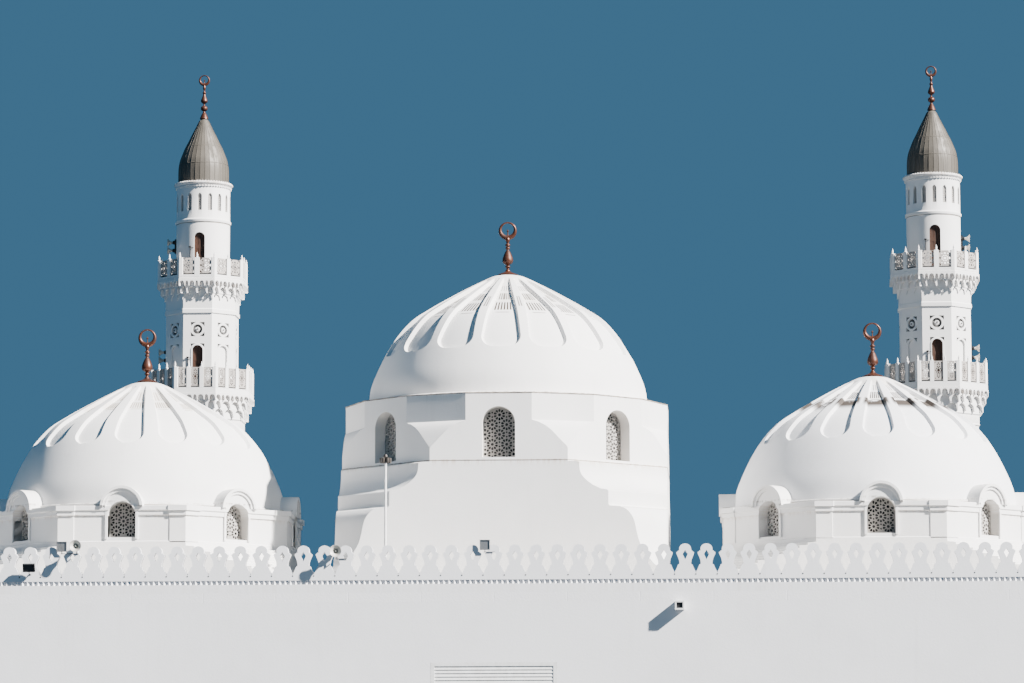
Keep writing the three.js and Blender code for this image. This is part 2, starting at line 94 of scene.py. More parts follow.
def placeLights():
    for name in ("key", "fill"):
        settings = lightSettings[name]
        lamp = bpy.data.lights.new(name + "Light", "SUN")
        lamp.energy = settings["strength"]
        lamp.angle = math.radians(settings["spread"])
        lamp.color = settings["colour"]
        holder = bpy.data.objects.new(name + "Light", lamp)
        bpy.context.collection.objects.link(holder)
        holder.rotation_euler = Vector(settings["from"]).to_track_quat("Z", "Y").to_euler()
    world = bpy.data.worlds.new("studio")
    world.use_nodes = True
    backdrop = world.node_tree.nodes["Background"]
    backdrop.inputs["Color"].default_value = (*lightSettings["room"]["colour"], 1)
    backdrop.inputs["Strength"].default_value = lightSettings["room"]["strength"]
    bpy.context.scene.world = world


placeCamera()
placeLights()
print("camera and lights placed")


# Material building blocks
def addNode(tree, kind, inputs=None, **settings):
    node = tree.nodes.new(kind)
    for key, value in settings.items():
        setattr(node, key, value)
    for key, value in (inputs or {}).items():
        if isinstance(value, bpy.types.NodeSocket):
            tree.links.new(value, node.inputs[key])
        else:
            node.inputs[key].default_value = value
    return node


def startMaterial(name, roughness, metallic=0.0):
    material = bpy.data.materials.new(name)
    material.use_nodes = True
    tree = material.node_tree
    shader = tree.nodes["Principled BSDF"]
    shader.inputs["Roughness"].default_value = roughness
    shader.inputs["Metallic"].default_value = metallic
    return material, tree, shader


def objectPoint(tree, scale=(1, 1, 1)):
    place = addNode(tree, "ShaderNodeTexCoord").outputs["Object"]
    return addNode(tree, "ShaderNodeMapping", {"Vector": place, "Scale": scale}).outputs[0]


def noiseOf(tree, stretch, scale, detail=3.0, roughness=0.5):
    inputs = {"Vector": objectPoint(tree, stretch), "Scale": scale, "Detail": detail, "Roughness": roughness}
    return addNode(tree, "ShaderNodeTexNoise", inputs).outputs[0]


def between(tree, value, low, high, toLow=0.0, toHigh=1.0):
    inputs = {"Value": value, "From Min": low, "From Max": high, "To Min": toLow, "To Max": toHigh}
    return addNode(tree, "ShaderNodeMapRange", inputs, interpolation_type="SMOOTHSTEP").outputs[0]


def sumOf(tree, operation, *values):
    result = values[0]
    for value in values[1:]:
        result = addNode(tree, "ShaderNodeMath", {0: result, 1: value}, operation=operation).outputs[0]
    return result


def mixed(tree, factor, first, second):
    node = addNode(tree, "ShaderNodeMix", data_type="RGBA")
    for index, value in ((0, factor), (6, first), (7, second)):
        if isinstance(value, bpy.types.NodeSocket):
            tree.links.new(value, node.inputs[index])
        else:
            node.inputs[index].default_value = value if index == 0 else (*value, 1)
    return node.outputs[2]


def coat(tree, shader, colour, roughness):
    tree.links.new(colour, shader.inputs["Base Color"])
    tree.links.new(roughness, shader.inputs["Roughness"])


def roughen(tree, shader, height, strength, distance):
    inputs = {"Height": height, "Strength": strength, "Distance": distance}
    tree.links.new(addNode(tree, "ShaderNodeBump", inputs).outputs[0], shader.inputs["Normal"])


def placeOf(tree, axis):
    return addNode(tree, "ShaderNodeSeparateXYZ", {0: objectPoint(tree)}).outputs[axis]


def facingUp(tree):
    normal = addNode(tree, "ShaderNodeNewGeometry").outputs["Normal"]
    return addNode(tree, "ShaderNodeSeparateXYZ", {0: normal}).outputs[2]


# Painted plaster: cloudy tint, run-off streaks, dust on ledges, fine trowelled grain and stains.
# A stain is its top, how far it reaches down, its strength and its tint
plasterLook = {
    "cloudSize": 0.55, "streakStretch": (2.6, 2.6, 0.11), "streakTint": (0.42, 0.40, 0.37),
    "fineStretch": (9, 9, 0.5), "dustTint": (0.55, 0.50, 0.42), "grainSize": 22.0, "roughness": (0.62, 0.88),
    "bump": (0.16, 0.012),
}


def plasterMaterial(name, light, dark, streaks=0.1, dust=0.35, stains=(), tiles=None):
    s = plasterLook
    material, tree, shader = startMaterial(name, 0.78)
    cloud = between(tree, noiseOf(tree, (1, 1, 1), s["cloudSize"], 5.0, 0.6), 0.32, 0.72)
    colour = mixed(tree, cloud, light, dark)
    run = noiseOf(tree, s["streakStretch"], 1.5, 4.0, 0.65)
    fine = noiseOf(tree, s["fineStretch"], 1.3, 3.0, 0.6)
    streak = sumOf(tree, "MULTIPLY", between(tree, run, 0.54, 0.74), between(tree, fine, 0.3, 0.7), streaks)
    colour = mixed(tree, streak, colour, s["streakTint"])
    ledge = between(tree, facingUp(tree), 0.75, 0.98)
    settled = sumOf(tree, "MULTIPLY", ledge, between(tree, fine, 0.2, 0.8), dust)
    colour = mixed(tree, settled, colour, s["dustTint"])
    level = placeOf(tree, 2)
    for top, reach, strength, tint in stains:
        edge = between(tree, level, (top - reach) * building["scale"], top * building["scale"])
        below = sumOf(tree, "LESS_THAN", level, top * building["scale"] + 0.01)
        drip = between(tree, fine, 0.42, 0.66)
        mark = sumOf(tree, "MULTIPLY", edge, edge, below, drip, strength)
        colour = mixed(tree, mark, colour, tint)
    grain = noiseOf(tree, (1, 1, 1), s["grainSize"], 4.0, 0.6)
    if tiles:
        colour = tiles(tree, colour)
    coat(tree, shader, colour, between(tree, grain, 0.2, 0.8, *s["roughness"]))
    broad = noiseOf(tree, (1, 1, 1), 2.2, 3.0, 0.5)
    roughen(tree, shader, sumOf(tree, "ADD", grain, broad), *s["bump"])
    return material


def metalMaterial(name, light, dark, roughness, metallic, scale=6.0):
    material, tree, shader = startMaterial(name, roughness, metallic)
    patch = between(tree, noiseOf(tree, (1, 1, 0.6), scale, 5.0, 0.65), 0.35, 0.68)
    duller = between(tree, patch, 0.0, 1.0, roughness - 0.08, roughness + 0.2)
    coat(tree, shader, mixed(tree, patch, light, dark), duller)
    roughen(tree, shader, noiseOf(tree, (1, 1, 1), scale * 5, 3.0), 0.2, 0.004)
    return material


# Sheet metal: weathered, with soft bands at its laps and run-off down its seams
def sheetMaterial(name, light, dark, lapTurn=11.2):
    material, tree, shader = startMaterial(name, 0.6, 0.1)
    run = between(tree, noiseOf(tree, (5, 5, 0.25), 2.0, 4.0, 0.6), 0.3, 0.7)
    turn = sumOf(tree, "MULTIPLY", placeOf(tree, 2), lapTurn)
    wave = addNode(tree, "ShaderNodeMath", {0: turn}, operation="SINE")
    band = between(tree, wave.outputs[0], -0.9, 0.7, 0.0, 0.2)
    colour = mixed(tree, sumOf(tree, "MULTIPLY", run, 0.65), light, dark)
    colour = mixed(tree, band, colour, dark)
    coat(tree, shader, colour, between(tree, run, 0.0, 1.0, 0.5, 0.7))
    roughen(tree, shader, noiseOf(tree, (1, 1, 1), 9.0, 4.0), 0.25, 0.006)
    return material


def woodMaterial(name, light, dark):
    material, tree, shader = startMaterial(name, 0.5)
    grain = noiseOf(tree, (14, 14, 0.9), 2.0, 5.0, 0.6)
    colour = mixed(tree, between(tree, grain, 0.3, 0.7), light, dark)
    coat(tree, shader, colour, between(tree, grain, 0.2, 0.8, 0.5, 0.7))
    roughen(tree, shader, grain, 0.3, 0.004)
    return material


# Screed and paving: slabs with joints, blotched and dusty, and whitewash as far back as a limit
def slabMaterial(name, light, dark, joint, pitch, edge, whitewash=None):
    material, tree, shader = startMaterial(name, 0.85)
    blotch = between(tree, noiseOf(tree, (1, 1, 1), 0.7, 6.0, 0.65), 0.3, 0.7)
    inputs = {
        "Vector": objectPoint(tree), "Color1": (*light, 1), "Color2": (*dark, 1), "Mortar": (*joint, 1),
        "Scale": 1.0, "Mortar Size": 0.012, "Mortar Smooth": 0.3, "Brick Width": pitch, "Row Height": pitch,
    }
    slabs = addNode(tree, "ShaderNodeTexBrick", inputs, offset=0.0)
    worn = mixed(tree, blotch, slabs.outputs[0], dark)
    if whitewash:
        tint, limit = whitewash
        end = (limit - middleDepth) * building["scale"]
        painted = between(tree, placeOf(tree, 1), end + 0.3, end)
        thin = between(tree, blotch, 0.0, 1.0, 1.0, 0.75)
        worn = mixed(tree, sumOf(tree, "MULTIPLY", painted, thin), worn, tint)
    colour = mixed(tree, between(tree, facingUp(tree), 0.3, 0.7), edge, worn)
    coat(tree, shader, colour, between(tree, blotch, 0.0, 1.0, 0.75, 0.95))
    grain = noiseOf(tree, (1, 1, 1), 30.0, 3.0)
    roughen(tree, shader, sumOf(tree, "SUBTRACT", grain, slabs.outputs["Fac"]), 0.3, 0.01)
    return material


plasterTints = {
    "warm": ((0.81, 0.80, 0.79), (0.755, 0.745, 0.735)),
    # The cool tint, used on the right dome, is painted shade: a faint blue-grey cast for the shadow across
    # that dome
    "coolShade": ((0.80, 0.80, 0.81), (0.745, 0.745, 0.76)),
    "wall": ((0.73, 0.735, 0.755), (0.675, 0.68, 0.70)),
    "creamAndBounce": ((0.78, 0.75, 0.71), (0.70, 0.67, 0.63)),
}
grime, rust = (0.17, 0.14, 0.11), (0.42, 0.28, 0.17)
stains = {
    "wall": [(10.35, 1.6, 0.10, rust)],
    "tower": [(18.74, 0.30, 0.75, grime), (15.78, 0.42, 0.45, rust)],
    "drum": [(14.16, 0.16, 0.6, grime), (13.56, 0.3, 0.25, rust)],
    "shaft": [(39.50, 0.4, 0.6, rust), (33.05, 0.9, 0.35, rust), (26.0, 0.9, 0.35, rust)],
}
wallPlaster = plasterMaterial("wallPlaster", *plasterTints["wall"], 0.16, stains=stains["wall"])
towerPlaster = plasterMaterial("towerPlaster", *plasterTints["warm"], 0.10, stains=stains["tower"])
drumPlaster = plasterMaterial("drumPlaster", *plasterTints["warm"], 0.12, stains=stains["drum"])
shaftPlaster = plasterMaterial("shaftPlaster", *plasterTints["warm"], 0.10, stains=stains["shaft"])
# Cream plaster lines the wells and the window reveals; on the reveals its warm cream is painted light, the
# glow of light bounced into them
creamAndBouncePlaster = plasterMaterial("creamAndBouncePlaster", *plasterTints["creamAndBounce"], streaks=0.2, dust=0.2)
latticeStone = plasterMaterial("latticeStone", (0.42, 0.40, 0.375), (0.31, 0.295, 0.28), streaks=0.3)
fretStone = plasterMaterial("fretStone", (0.42, 0.385, 0.355), (0.31, 0.285, 0.265), streaks=0.3)
# Dark grey laid in the carved hollows: painted shade
paintedShadeGrey = metalMaterial("paintedShadeGrey", (0.11, 0.108, 0.105), (0.07, 0.068, 0.066), 0.8, 0.0, 9.0)
copper = metalMaterial("copper", (0.10, 0.033, 0.017), (0.045, 0.017, 0.011), 0.40, 0.5)
paintedSteel = metalMaterial("paintedSteel", (0.72, 0.73, 0.73), (0.60, 0.60, 0.59), 0.45, 0.0, 9.0)
greySteel = metalMaterial("greySteel", (0.24, 0.25, 0.26), (0.14, 0.145, 0.15), 0.45, 0.6, 9.0)
lampBronze = metalMaterial("lampBronze", (0.06, 0.05, 0.042), (0.02, 0.017, 0.015), 0.5, 0.2, 9.0)
grimeLine = metalMaterial("grimeLine", (0.34, 0.29, 0.24), (0.12, 0.10, 0.085), 0.8, 0.0, 5.0)
# Dark paint for lamps, horn drivers, brackets and the floodlight; also painted shade behind the railing
# slots, in the drain mouths and inside the wall housing
darkPaintAndShade = metalMaterial("darkPaintAndShade", (0.02, 0.021, 0.023), (0.009, 0.0095, 0.01), 0.45, 0.3, 9.0)
capSheet = sheetMaterial("capSheet", (0.105, 0.092, 0.074), (0.052, 0.046, 0.037))
# Near-black panes behind the lattices: painted shade for the dark inside
paneWithPaintedShade = metalMaterial("paneWithPaintedShade", (0.012, 0.014, 0.016), (0.022, 0.024, 0.026), 0.28, 0.0, 3.0)
hornPaint = metalMaterial("hornPaint", (0.62, 0.60, 0.54), (0.46, 0.44, 0.39), 0.4, 0.0, 9.0)
doorWood = woodMaterial("doorWood", (0.06, 0.021, 0.008), (0.024, 0.009, 0.004))
roofTints = ((0.17, 0.163, 0.15), (0.12, 0.115, 0.105), (0.08, 0.075, 0.07))
roofScreed = slabMaterial("roofScreed", *roofTints, 1.5, (0.72, 0.72, 0.74), ((0.62, 0.585, 0.53), 8.0))
floorTints = ((0.66, 0.62, 0.55), (0.56, 0.52, 0.46), (0.35, 0.32, 0.28))
floorStone = slabMaterial("floorStone", *floorTints, 0.6, (0.60, 0.57, 0.51))
print("materials mixed")


# Mesh building blocks: a part is (points, faces) in metres of the building
def combined(*parts):
    points, faces, start = [], [], 0
    for partPoints, partFaces in parts:
        points.append(np.asarray(partPoints, float))
        faces += [tuple(index + start for index in face) for face in partFaces]
        start += len(partPoints)
    return np.vstack(points), faces


def loft(rings, closed=False):
    rings = [np.asarray(ring, float) for ring in rings]
    count, width = len(rings), len(rings[0])
    faces = []
    for i in range(count if closed else count - 1):
        low, high = i * width, ((i + 1) % count) * width
        faces += [(low + j, low + (j + 1) % width, high + (j + 1) % width, high + j) for j in range(width)]
    if not closed:
        faces.append(tuple(range(width))[::-1])
        faces.append(tuple(range((count - 1) * width, count * width)))
    return np.vstack(rings), faces


# A profile of (radius, height) turned about the upright axis; flatSided puts its flat sides at the radius
def turned(profile, segments=32, closed=False, flatSided=False):
    stretch = 1 / math.cos(math.pi / segments) if flatSided else 1.0
    phase = math.pi / segments if flatSided else 0.0
    angles = [phase + 2 * math.pi * i / segments for i in range(segments)]
    points, rows = [], []
    for radius, height in profile:
        wide = radius * stretch
        if radius < 1e-6:
            rows.append([len(points)])
            points.append((0.0, 0.0, height))
        else:
            rows.append(list(range(len(points), len(points) + segments)))
            points += [(wide * math.cos(a), wide * math.sin(a), height) for a in angles]
    faces = []
    pairs = list(zip(rows, rows[1:])) + ([(rows[-1], rows[0])] if closed else [])
    for low, high in pairs:
        for i in range(segments):
            j = (i + 1) % segments
            if len(low) == 1 and len(high) > 1:
                faces.append((low[0], high[j], high[i]))
            elif len(high) == 1 and len(low) > 1:
                faces.append((low[i], low[j], high[0]))
            elif len(low) > 1:
                faces.append((low[i], low[j], high[j], high[i]))
    return np.array(points), faces


# Outlines drawn in X and Z, the first one solid and the others holes, run back from y0 to y1
def extruded(loops, y0, y1):
    flat = [[Vector((x, z, 0)) for x, z in loop] for loop in loops]
    caps = [tuple(face) for face in tessellate_polygon(flat)]
    outline = [point for loop in loops for point in loop]
    count = len(outline)
    points = [(x, y0, z) for x, z in outline] + [(x, y1, z) for x, z in outline]
    faces = caps + [tuple(i + count for i in face[::-1]) for face in caps]
    start = 0
    for loop in loops:
        size = len(loop)
        for i in range(size):
            j = (i + 1) % size
            faces.append((start + i, start + j, start + j + count, start + i + count))
        start += size
    return np.array(points), faces


def rectangle(x0, x1, z0, z1):
    return [(x0, z0), (x1, z0), (x1, z1), (x0, z1)]


def block(x0, x1, y0, y1, z0, z1):
    return extruded([rectangle(x0, x1, z0, z1)], y0, y1)


def moved(part, offset):
    return np.asarray(part[0], float) + offset, part[1]


def spun(part, degrees):
    a = math.radians(degrees)
    turn = np.array([[math.cos(a), math.sin(a), 0], [-math.sin(a), math.cos(a), 0], [0, 0, 1]])
    return np.asarray(part[0], float) @ turn, part[1]


def tipped(part, degrees):
    a = math.radians(degrees)
    turn = np.array([[1, 0, 0], [0, math.cos(a), math.sin(a)], [0, -math.sin(a), math.cos(a)]])
    return np.asarray(part[0], float) @ turn, part[1]


# A turned shape laid on its back, so that its top looks out of the front
def facingFront(profile, segments, offset, closed=False):
    return moved(tipped(turned(profile, segments, closed), 90), offset)


def around(part, count, start=0.0):
    return combined(*[spun(part, start + 360 * i / count) for i in range(count)])


# The outline of an arched opening; pointed lifts its crown from a half circle
def arch(half, foot, crown, steps=12, pointed=0.0):
    springing = crown - half * (1 + pointed)
    curve = []
    for i in range(steps + 1):
        a = math.pi * i / steps
        lift = half * math.sin(a) + pointed * half * math.sin(a) ** 3
        curve.append((half * math.cos(a), springing + lift))
    return [(-half, foot), (half, foot)] + curve


def mirrored(halfOutline):
    return halfOutline + [(-x, z) for x, z in reversed(halfOutline) if x > 1e-9]


# Objects
def tidyMesh(mesh, weldWithin=0.0):
    edit = bmesh.new()
    edit.from_mesh(mesh)
    if weldWithin:
        bmesh.ops.remove_doubles(edit, verts=edit.verts, dist=weldWithin)
    bmesh.ops.recalc_face_normals(edit, faces=edit.faces)
    edit.to_mesh(mesh)
    edit.free()


# A part turned into an object at its place; a loose one stays about its own middle for the repeats
def makeObject(name, part, material, at=(0, 0, 0), loose=False):
    points, faces = np.asarray(part[0], float), part[1]
    placed = points * building["scale"] if loose else modelPoints(points + np.asarray(at, float))
    mesh = bpy.data.meshes.new(name)
    mesh.from_pydata(placed.tolist(), [], [tuple(int(i) for i in face) for face in faces])
    tidyMesh(mesh)
    mesh.materials.append(material)
    piece = bpy.data.objects.new(name, mesh)
    bpy.context.collection.objects.link(piece)
    return piece


def bakeModifiers(piece):
    depsgraph = bpy.context.evaluated_depsgraph_get()
    plain = bpy.data.meshes.new_from_object(piece.evaluated_get(depsgraph), depsgraph=depsgraph)
    piece.modifiers.clear()
    piece.data = plain
    return piece


def cutOut(piece, cutter):
    tool = piece.modifiers.new("cut", "BOOLEAN")
    tool.operation = "DIFFERENCE"
    tool.solver = "EXACT"
    tool.material_mode = "TRANSFER"
    tool.object = cutter
    bakeModifiers(piece)
    bpy.data.objects.remove(cutter)


def joinPieces(name, pieces):
    first = pieces[0]
    chosen = {"selected_editable_objects": pieces, "selected_objects": pieces}
    with bpy.context.temp_override(active_object=first, object=first, **chosen):
        bpy.ops.object.join()
    first.name = name
    return first


# The last step of every piece: smooth shading with sharp creases, and the node that it stands for
def settle(piece, name, node, crease=32):
    piece.name = name
    mesh = piece.data
    mesh.polygons.foreach_set("use_smooth", [True] * len(mesh.polygons))
    mesh.set_sharp_from_angle(angle=math.radians(crease))
    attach(piece, "root")
    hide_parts(node)


# One tree repeats a shape along a row or round an axis
def repeatTree():
    tree = bpy.data.node_groups.new("repeatedShape", "GeometryNodeTree")
    sockets = {
        "Shape": "Geometry", "Count": "Int", "Start": "Vector", "Step": "Vector", "Turn": "Float",
        "Material": "Material",
    }
    for name, kind in sockets.items():
        tree.interface.new_socket(name, in_out="INPUT", socket_type="NodeSocket" + kind)
    tree.interface.new_socket("Pieces", in_out="OUTPUT", socket_type="NodeSocketGeometry")
    given = tree.nodes.new("NodeGroupInput").outputs
    line = {"Count": given["Count"], "Start Location": given["Start"], "Offset": given["Step"]}
    row = addNode(tree, "GeometryNodeMeshLine", line).outputs[0]
    index = addNode(tree, "GeometryNodeInputIndex").outputs[0]
    turn = sumOf(tree, "MULTIPLY", index, given["Turn"])
    aim = addNode(tree, "ShaderNodeCombineXYZ", {"Z": turn}).outputs[0]
    copies = {"Points": row, "Instance": given["Shape"], "Rotation": aim}
    placed = addNode(tree, "GeometryNodeInstanceOnPoints", copies).outputs[0]
    real = addNode(tree, "GeometryNodeRealizeInstances", {0: placed}).outputs[0]
    painted = addNode(tree, "GeometryNodeSetMaterial", {"Geometry": real, "Material": given["Material"]})
    addNode(tree, "NodeGroupOutput", {"Pieces": painted.outputs[0]})
    return tree


repeater = repeatTree()
socketOf = {item.name: item.identifier for item in repeater.interface.items_tree if item.in_out == "INPUT"}


def repeated(name, part, material, count, at, step=(0, 0, 0), turn=0.0):
    piece = makeObject(name, part, material, loose=True)
    tool = piece.modifiers.new("repeat", "NODES")
    tool.node_group = repeater
    values = {
        "Count": count, "Start": tuple(modelPoints(at)), "Turn": math.radians(turn), "Material": material,
        "Step": tuple(np.asarray(step) * building["scale"]),
    }
    for key, value in values.items():
        tool[socketOf[key]] = value
    return bakeModifiers(piece)


def inRing(name, part, material, count, at):
    return repeated(name, part, material, count, at, turn=360 / count)


# Parapets: a band with a dog-tooth course and a row of pierced merlons
parapet = {
    "foot": 10.0, "toothFoot": 10.345, "toothTop": 10.51, "thick": 0.26, "toothDepth": 0.1, "pitch": 0.873,
    "teeth": 4, "drain": [(0, 0), (0.028, 0), (0.028, 0.02), (0, 0.02)], "drainHeight": 10.695,
    "cornerFront": 60.8, "cornerSide": 19.35,
    "merlon": [
        (0.424, 10.755), (0.424, 10.80), (0.385, 10.87), (0.345, 10.95), (0.315, 11.03), (0.292, 11.085),
        (0.243, 11.10), (0.236, 11.15), (0.246, 11.25), (0.278, 11.36), (0.325, 11.47), (0.362, 11.565),
        (0.356, 11.59), (0.300, 11.625), (0.280, 11.66), (0.232, 11.655), (0.247, 11.72), (0.232, 11.80),
        (0.190, 11.87), (0.120, 11.92), (0.0, 11.95),
    ],
    "eye": [(0.0, 11.285), (0.11, 11.52), (0.0, 11.69), (-0.11, 11.52)],
}


def parapetRow(name, length, at, degrees, drained=False):
    s = parapet
    count = round(length / s["pitch"])
    pitch = length / count
    half = [(x * pitch / s["pitch"], z) for x, z in s["merlon"]]
    edge, thick = pitch / 2, s["thick"]
    outline = [(edge, s["toothTop"]), (edge, half[0][1])] + half
    merlon = extruded([mirrored(outline), s["eye"]], 0, thick)
    toothPitch = pitch / s["teeth"]
    zigzag = []
    for i in range(s["teeth"]):
        x = -edge + i * toothPitch
        zigzag += [(x, s["toothDepth"]), (x + toothPitch / 2, 0.0)]
    plan = zigzag + [(edge, s["toothDepth"]), (edge, thick), (-edge, thick)]
    course = loft([[(x, y, z) for x, y in plan] for z in (s["toothFoot"], s["toothTop"])])
    band = block(-edge, edge, 0, thick, s["foot"] + gap, s["toothFoot"])
    unit = spun(combined(merlon, course, band), degrees)
    a = math.radians(degrees)
    along = np.array([math.cos(a), math.sin(a), 0.0])
    start = np.asarray(at, float) - along * (length - pitch) / 2
    row = repeated(name, unit, wallPlaster, count, start, along * pitch)
    if drained:
        # The drains are dark discs on the band: painted shade for the hollow mouths of the drain holes
        drain = facingFront(s["drain"], 8, (edge, 0.012, s["drainHeight"]))
        row = joinPieces(name, [row, repeated(name, drain, darkPaintAndShade, count - 1, start, along * pitch)])
    settle(row, name + "_merlons", name, crease=40)


sideLength = parapet["cornerFront"] - building["front"] - parapet["thick"] - 2 * gap
sideMiddle = (parapet["cornerFront"] + building["front"] + parapet["thick"]) / 2
parapetRow("front_parapet", 2 * building["half"], (0, building["front"], 0), 0, True)
parapetRow("rear_parapet", 2 * parapet["cornerSide"] - 2 * gap, (0, building["rear"], 0), 180)
parapetRow("right_parapet", sideLength, (building["half"], sideMiddle, 0), 90)
parapetRow("left_parapet", sideLength, (-building["half"], sideMiddle, 0), -90)
print("parapets built")


# Louvre: a framed panel of fine fixed slats
louvreSettings = {
    "half": 2.6, "foot": 4.4, "top": 7.13, "frame": 0.16, "front": -10.604, "depth": 0.09,
    "slatPitch": 0.136, "slatDepth": 0.05, "slatThick": 0.012,
}


def buildLouvre():
    s = louvreSettings
    outer = rectangle(gap - s["half"], s["half"] - gap, s["foot"] + gap, s["top"] - gap)
    x, low, high = s["half"] - s["frame"], s["foot"] + s["frame"], s["top"] - s["frame"]
    back = s["front"] + s["depth"]
    frameBody = extruded([outer, [(-x, low), (-x, high), (x, high), (x, low)]], s["front"], back + 0.06)
    pieces = [makeObject("louvreFrame", frameBody, paintedSteel)]
    count = int((high - low) / s["slatPitch"])
    pitch = (high - low) / count
    deep, thin = s["slatDepth"], s["slatThick"]
    section = [(0.0, 0.0), (thin, -0.02), (deep, pitch * 0.9), (deep, pitch), (deep - thin, pitch)]
    slat = loft([[(side * (x + 0.01), y, z) for y, z in section] for side in (-1, 1)])
    start = (0, s["front"] + 0.01, low)
    pieces.append(repeated("louvreSlats", slat, paintedSteel, count, start, (0, 0, pitch)))
    pieces.append(makeObject("louvreBack", block(-x, x, back - 0.02, back + 0.05, low, high), paintedSteel))
    settle(joinPieces("louvre", pieces), "front_louvre_slats", "front_louvre")


buildLouvre()
print("louvre built")


# Domes: sixteen flutes between ribs, rounded at the foot and running to a point under the finial
domeSettings = {
    "outline": [
        (6.15, 0.0), (6.06, 0.66), (5.85, 1.27), (5.39, 2.24), (4.88, 3.05), (4.27, 3.72), (3.56, 4.2),
        (2.75, 4.68), (1.78, 5.21), (0.81, 5.69), (0.45, 5.79),
    ],
    "crown": 5.82, "flutes": 16, "topRadius": 1.2, "wall": 0.065, "thick": 0.4,
    "floorColumns": (0, 0.2, 0.36, 0.48, 0.58, 0.66, 0.73, 0.79, 0.85, 0.9, 0.95, 1),
    "wallColumns": (0.75, 0.5, 0.25, 0), "ribColumns": (0.12, 0.5),
    "rowCounts": (12, 36, 9), "footStep": 0.04,
}
fluteSettings = {
    "central_dome": {"footArc": 2.13, "footShare": 0.85, "topShare": 0.66, "corner": 0.62, "depth": 0.165},
    "left_dome": {"footArc": 2.90, "footShare": 0.69, "topShare": 0.62, "corner": 0.62, "depth": 0.145},
    "right_dome": {"footArc": 2.95, "footShare": 0.73, "topShare": 0.62, "corner": 0.64, "depth": 0.145},
}


# A smooth curve through the points, read at a number of even steps or at given lengths along it
def smoothCurve(points, count):
    points = np.asarray(points, float)
    padded = np.vstack([2 * points[0] - points[1], points, 2 * points[-1] - points[-2]])
    fine = []
    for i in range(len(points) - 1):
        a, b, c, d = padded[i:i + 4]
        for t in np.linspace(0, 1, 24, endpoint=False):
            bend, twist = 2 * a - 5 * b + 4 * c - d, 3 * b - a - 3 * c + d
            fine.append(0.5 * (2 * b + (c - a) * t + bend * t * t + twist * t ** 3))
    fine = np.vstack([fine, points[-1:]])
    arc = np.concatenate([[0], np.cumsum(np.linalg.norm(np.diff(fine, axis=0), axis=1))])
    if np.isscalar(count):
        count = np.linspace(0, arc[-1], count)
    return np.stack([np.interp(count, arc, fine[:, k]) for k in (0, 1)], 1), arc[-1]


veilTint, sootTint = (0.60, 0.53, 0.43), (0.05, 0.038, 0.03)


# Dome plaster: a brown veil between two heights, inked marks of the tiles, and soot on one dome
def domeMaterial(name, tints, marks, ink, veil, sooty):
    def weathered(tree, colour):
        across = addNode(tree, "ShaderNodeAttribute", attribute_name="across").outputs["Fac"]
        up = addNode(tree, "ShaderNodeAttribute", attribute_name="up").outputs["Fac"]
        worn = between(tree, noiseOf(tree, (1, 1, 1), 3.2, 4.0, 0.7), 0.18, 0.38)
        inFlute = between(tree, across, 0.70, 0.62)
        low, high, strength = veil
        patch = between(tree, noiseOf(tree, (1, 1, 0.7), 1.3, 5.0, 0.6), 0.3, 0.7)
        rise, fall = between(tree, up, low, low + 0.02), between(tree, up, high + 0.1, high)
        stain = sumOf(tree, "MULTIPLY", rise, fall, patch, inFlute, strength)
        colour = mixed(tree, stain, colour, veilTint)
        for bottom, top, centres, width, depth in marks:
            rise, fall = between(tree, up, bottom, bottom + 0.004), between(tree, up, top, top - 0.004)
            for centre in centres:
                offset = sumOf(tree, "SUBTRACT", across, centre)
                apart = addNode(tree, "ShaderNodeMath", {0: offset}, operation="ABSOLUTE").outputs[0]
                within = between(tree, apart, width, width * 0.6)
                dash = sumOf(tree, "MULTIPLY", within, rise, fall, worn, depth)
                colour = mixed(tree, dash, colour, ink)
        if sooty:
            rise, fall = between(tree, up, low - 0.10, low - 0.04), between(tree, up, low + 0.012, low)
            blot = between(tree, noiseOf(tree, (1, 1, 1), 2.4, 5.0, 0.7), 0.3, 0.46)
            soot = sumOf(tree, "MULTIPLY", rise, fall, blot, between(tree, across, 0.98, 0.75))
            colour = mixed(tree, soot, colour, sootTint)
        return colour
    return plasterMaterial(name, *tints, streaks=0.12, dust=0.0, tiles=weathered)


